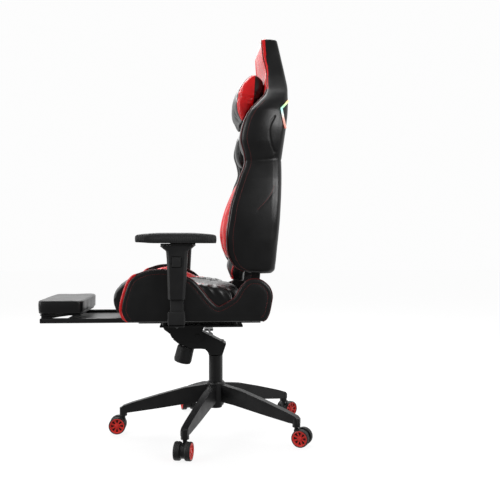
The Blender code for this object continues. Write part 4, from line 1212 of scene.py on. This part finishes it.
def slotted_disc(name):
    """Red face of a wheel: a shallow dish with a raised centre and eight slots, its face at z = 0."""
    disc = turned(name, [(0.0, -0.0015), (0.0036, -0.0015), (0.0060, -0.0020), (0.0075, -0.0042),
                         (0.0090, -0.0046), (0.0215, -0.0034), (0.0230, -0.0010), (0.0245, -0.0004),
                         (0.0262, -0.0012), (0.0262, -0.0080), (0.0, -0.0080)], 64)
    cutters = []
    wedge = [(0.0098, -0.0016), (0.0205, -0.0048), (0.0212, 0.0), (0.0205, 0.0048), (0.0098, 0.0016)]
    for i in range(DISC_SLOTS):
        slot = loft("slot", [[(x, y, z) for x, y in wedge] for z in (-0.012, 0.004)])
        slot.data.transform(Matrix.Rotation(radians(360 / DISC_SLOTS * i), 4, "Z"))
        cutters.append(slot)
    cutter = joined("slots", cutters)
    cut = disc.modifiers.new("slots", "BOOLEAN")
    cut.operation = "DIFFERENCE"
    cut.object = cutter
    with_modifiers_applied(disc)
    bpy.data.objects.remove(cutter)
    return tidy(disc, 35)


def wheel_tyre(name):
    """Black body of a wheel, with a groove round the middle of its tread."""
    half = WHEEL_WIDTH / 2
    rim = WHEEL_RADIUS
    return turned(name, [(0.0264, half - 0.0010), (0.0285, half - 0.0002), (0.0294, half - 0.0018),
                         (rim - 0.0001, half - 0.0050), (rim, 0.0024), (rim - 0.0006, 0.0018),
                         (rim - 0.0006, -0.0018), (rim, -0.0024), (rim - 0.0001, 0.0050 - half),
                         (0.0294, 0.0018 - half), (0.0285, 0.0002 - half), (0.0260, -half), (0.0046, -half),
                         (0.0046, half - 0.0075), (0.0264, half - 0.0075)], 72)


def casters():
    disc, tyre = slotted_disc("disc"), wheel_tyre("tyre")
    recess = turned("recess", [(0.0, 0.0016), (0.0255, 0.0016), (0.0255, 0.0010), (0.0, 0.0010)], 48)
    half = WHEEL_WIDTH / 2
    for index, heading in enumerate(CASTER_HEADINGS):
        leg = radians(-90 + 72 * index)
        stem = Matrix.Translation((LEG_REACH * cos(leg), LEG_REACH * sin(leg), 0))
        turn = stem @ Matrix.Rotation(radians(heading), 4, "Z")
        body = f"caster_{index + 1}_axle"
        for label, side in (("inner", -1), ("outer", 1)):
            centre = Matrix.Translation((CASTER_TRAIL, side * (WHEEL_INNER + half), WHEEL_RADIUS))
            flip = Matrix.Rotation(radians(-90 * side), 4, "X")
            for kind, mesh, lift, finish, slot in (
                    ("tyre", tyre, 0.0, "tread", "black_plastic"),
                    ("disc", disc, half + 0.0004, "red_disc", "caster_wheel"),
                    ("web", recess, 0.0, "tread", "black_plastic")):
                piece = linked(f"caster_{index + 1}_{label}_{kind}", mesh.data.copy())
                piece.data.transform(turn @ centre @ flip @ Matrix.Translation((0, 0, lift)))
                node = (f"caster_{index + 1}_wheel_{label}",) if kind == "tyre" else ()
                dress(piece, body, finish, slot, node)
    for used in (disc, tyre, recess):
        bpy.data.objects.remove(used)


# ---------------------------------------------------------------- hardware and CAD nodes

def bolt_head(name, place, direction, radius, rides_on):
    """A button-head socket screw standing on a face."""
    height = radius * 0.55
    head = turned(name, [(0.0, height * 0.35), (radius * 0.42, height * 0.35), (radius * 0.45, height),
                         (radius * 0.62, height), (radius * 0.90, height * 0.55), (radius, 0.0),
                         (radius, -0.0005), (0.0, -0.0005)], 24)
    turn = Vector((0, 0, 1)).rotation_difference(Vector(direction)).to_matrix().to_4x4()
    head.data.transform(Matrix.Translation(place) @ turn)
    dress(head, rides_on, "steel", "bright_steel")


ARM_POST = 0.302
UNDERSIDE = 0.4170          # lower face of the seat frame's brackets
DOWN = (0, 0, -1)


def hardware():
    """Screws that are in view under the seat and on the recline hinge."""
    for name, side in SIDES:
        for y in (-0.142, -0.117):
            place = (side * 0.176, y, UNDERSIDE)
            bolt_head(f"arm_bolt_{name}_{int(-y * 1000)}", place, DOWN, 0.0065, "seat")
        bolt_head(f"arm_foot_bolt_{name}", (side * ARM_POST, -0.1275, UNDERSIDE), DOWN, 0.0065, "seat")
        for y in (0.075, 0.105):
            place = (side * 0.1875, y, 0.450)
            bolt_head(f"hinge_bolt_{name}_{int(y * 1000)}", place, (side, 0, 0), 0.0050, "seat")
    for x in (-0.145, 0.145):
        for y in (-0.160, 0.060):
            label = f"plate_bolt_{'left' if x > 0 else 'right'}_{'front' if y < 0 else 'rear'}"
            bolt_head(label, (x, y, 0.400), DOWN, 0.0065, "seat")


BEVELS = {                  # CAD nodes that get a rounded edge, and how wide it is
    "base_star": 0.0022, "mechanism_housing": 0.0022, "mechanism_top_plate": 0.0012,
    "footrest_frame": 0.0006, "arm_core": 0.0008, "arm_sleeve": 0.0022, "arm_bracket": 0.0012,
    "tension_knob": 0.0010, "hinge_plate": 0.0008, "back_bracket": 0.0008, "gas_spring_tube": 0.0006,
    "footrest_hinge": 0.0006, "caster": 0.0008, "height_lever": 0.0006, "recline_lever": 0.0008,
}
NODE_FINISH = {"black_plastic": "plastic", "soft_black_plastic": "soft_plastic", "black_steel": "paint",
               "bright_steel": "steel", "caster_wheel": "tread", "light_strip": "light",
               "black_leather": "black_leather", "red_leather": "red_leather"}


def round_edges(node, width):
    custom = node.data.attributes.get("custom_normal")
    if custom is not None:
        node.data.attributes.remove(custom)
    node.data.shade_smooth()
    weld = node.modifiers.new("weld", "WELD")
    weld.merge_threshold = 0.00001
    edge = node.modifiers.new("edge", "BEVEL")
    edge.width = width
    edge.segments = 3
    edge.limit_method = "ANGLE"
    edge.angle_limit = radians(38)
    edge.use_clamp_overlap = True
    shade = node.modifiers.new("shade", "WEIGHTED_NORMAL")
    shade.keep_sharp = False


def dress_nodes():
    """Finishes and rounded edges for the CAD nodes that stay in view."""
    slots = {s["node"]: s["material_slot"] for s in frame["record"]["subparts"]}
    for name, node in frame["nodes"].items():
        node.data.materials.clear()
        node.data.materials.append(FINISH[NODE_FINISH[slots[name]]])
        if node.hide_render:
            continue
        for label, width in BEVELS.items():
            if name.startswith(label):
                round_edges(node, width)


# ---------------------------------------------------------------- studio

CAMERA_AT = Vector((2.516, 0.0997, 0.688))
CAMERA_AIM = Vector((0.0, 0.2642, 0.657))


def studio_floor():
    bm = bmesh.new()
    bmesh.ops.create_grid(bm, x_segments=1, y_segments=1, size=14.0)
    floor = from_bmesh("studio_floor", bm)
    made = shader("studio_white", (0.16, 0.16, 0.16), 0.9)
    surface_of(made)["Specular IOR Level"].default_value = 0.0
    surface_of(made)["Emission Color"].default_value = (1.0, 1.0, 1.0, 1.0)
    surface_of(made)["Emission Strength"].default_value = 0.88
    floor.data.materials.append(made)
    floor.visible_diffuse = False
    floor.visible_glossy = False


def softbox(name, place, aim, size, power):
    data = bpy.data.lights.new(name, "AREA")
    data.shape = "RECTANGLE"
    data.size, data.size_y = size
    data.energy = power
    lamp = linked(name, data)
    lamp.location = place
    lamp.rotation_euler = (Vector(aim) - Vector(place)).to_track_quat("-Z", "Y").to_euler()


def studio():
    studio_floor()
    softbox("overhead", (-1.4, -0.3, 2.8), (0, 0.15, 0.6), (2.6, 2.6), 95)
    softbox("front_side", (1.3, -2.6, 1.7), (0, 0, 0.7), (1.2, 2.0), 45)
    softbox("rear_side", (1.90, 1.95, 1.60), (0, 0.30, 1.15), (1.4, 0.8), 30)
    world = bpy.data.worlds.new("studio")
    bpy.context.scene.world = world
    world.use_nodes = True
    nodes, links = world.node_tree.nodes, world.node_tree.links
    nodes.clear()
    place = nodes.new("ShaderNodeTexCoord")
    split = nodes.new("ShaderNodeSeparateXYZ")
    links.new(place.outputs["Generated"], split.inputs[0])
    fall = nodes.new("ShaderNodeMapRange")
    fall.interpolation_type = "SMOOTHSTEP"
    fall.inputs["From Min"].default_value = -0.25
    fall.inputs["From Max"].default_value = 0.35
    fall.inputs["To Min"].default_value = 1.15
    fall.inputs["To Max"].default_value = 0.240
    links.new(split.outputs[0], fall.inputs["Value"])
    wall = nodes.new("ShaderNodeBackground")
    links.new(fall.outputs["Result"], wall.inputs["Strength"])
    white = nodes.new("ShaderNodeBackground")
    white.inputs["Strength"].default_value = 1.0
    white.inputs["Color"].default_value = (0.98, 0.98, 0.98, 1.0)
    seen = nodes.new("ShaderNodeLightPath")
    mix = nodes.new("ShaderNodeMixShader")
    out = nodes.new("ShaderNodeOutputWorld")
    links.new(seen.outputs["Is Camera Ray"], mix.inputs[0])
    links.new(wall.outputs[0], mix.inputs[1])
    links.new(white.outputs[0], mix.inputs[2])
    links.new(mix.outputs[0], out.inputs[0])


def camera():
    data = bpy.data.cameras.new("camera")
    data.lens = 50
    data.sensor_width = 36
    eye = linked("camera", data)
    eye.location = CAMERA_AT
    eye.rotation_euler = (CAMERA_AIM - CAMERA_AT).to_track_quat("-Z", "Y").to_euler()
    bpy.context.scene.camera = eye
    bpy.context.scene.view_settings.view_transform = "Standard"


back_shell()
back_trim()
head_front()
centre_pad()
wing("lower", LOWER_WING, "red_leather", "piping", 0.007)
wing("shoulder", SHOULDER_WING, "black_leather", "dark_piping", 0.006)
head_pillow()
for side_name, side_sign in SIDES:
    seat_side_panel(side_name, side_sign)
    seat_trim(side_name, side_sign)
seat_crests()
seat_cushion()
footrest_pad()
arm_pads()
casters()
hardware()
dress_nodes()
studio()
camera()
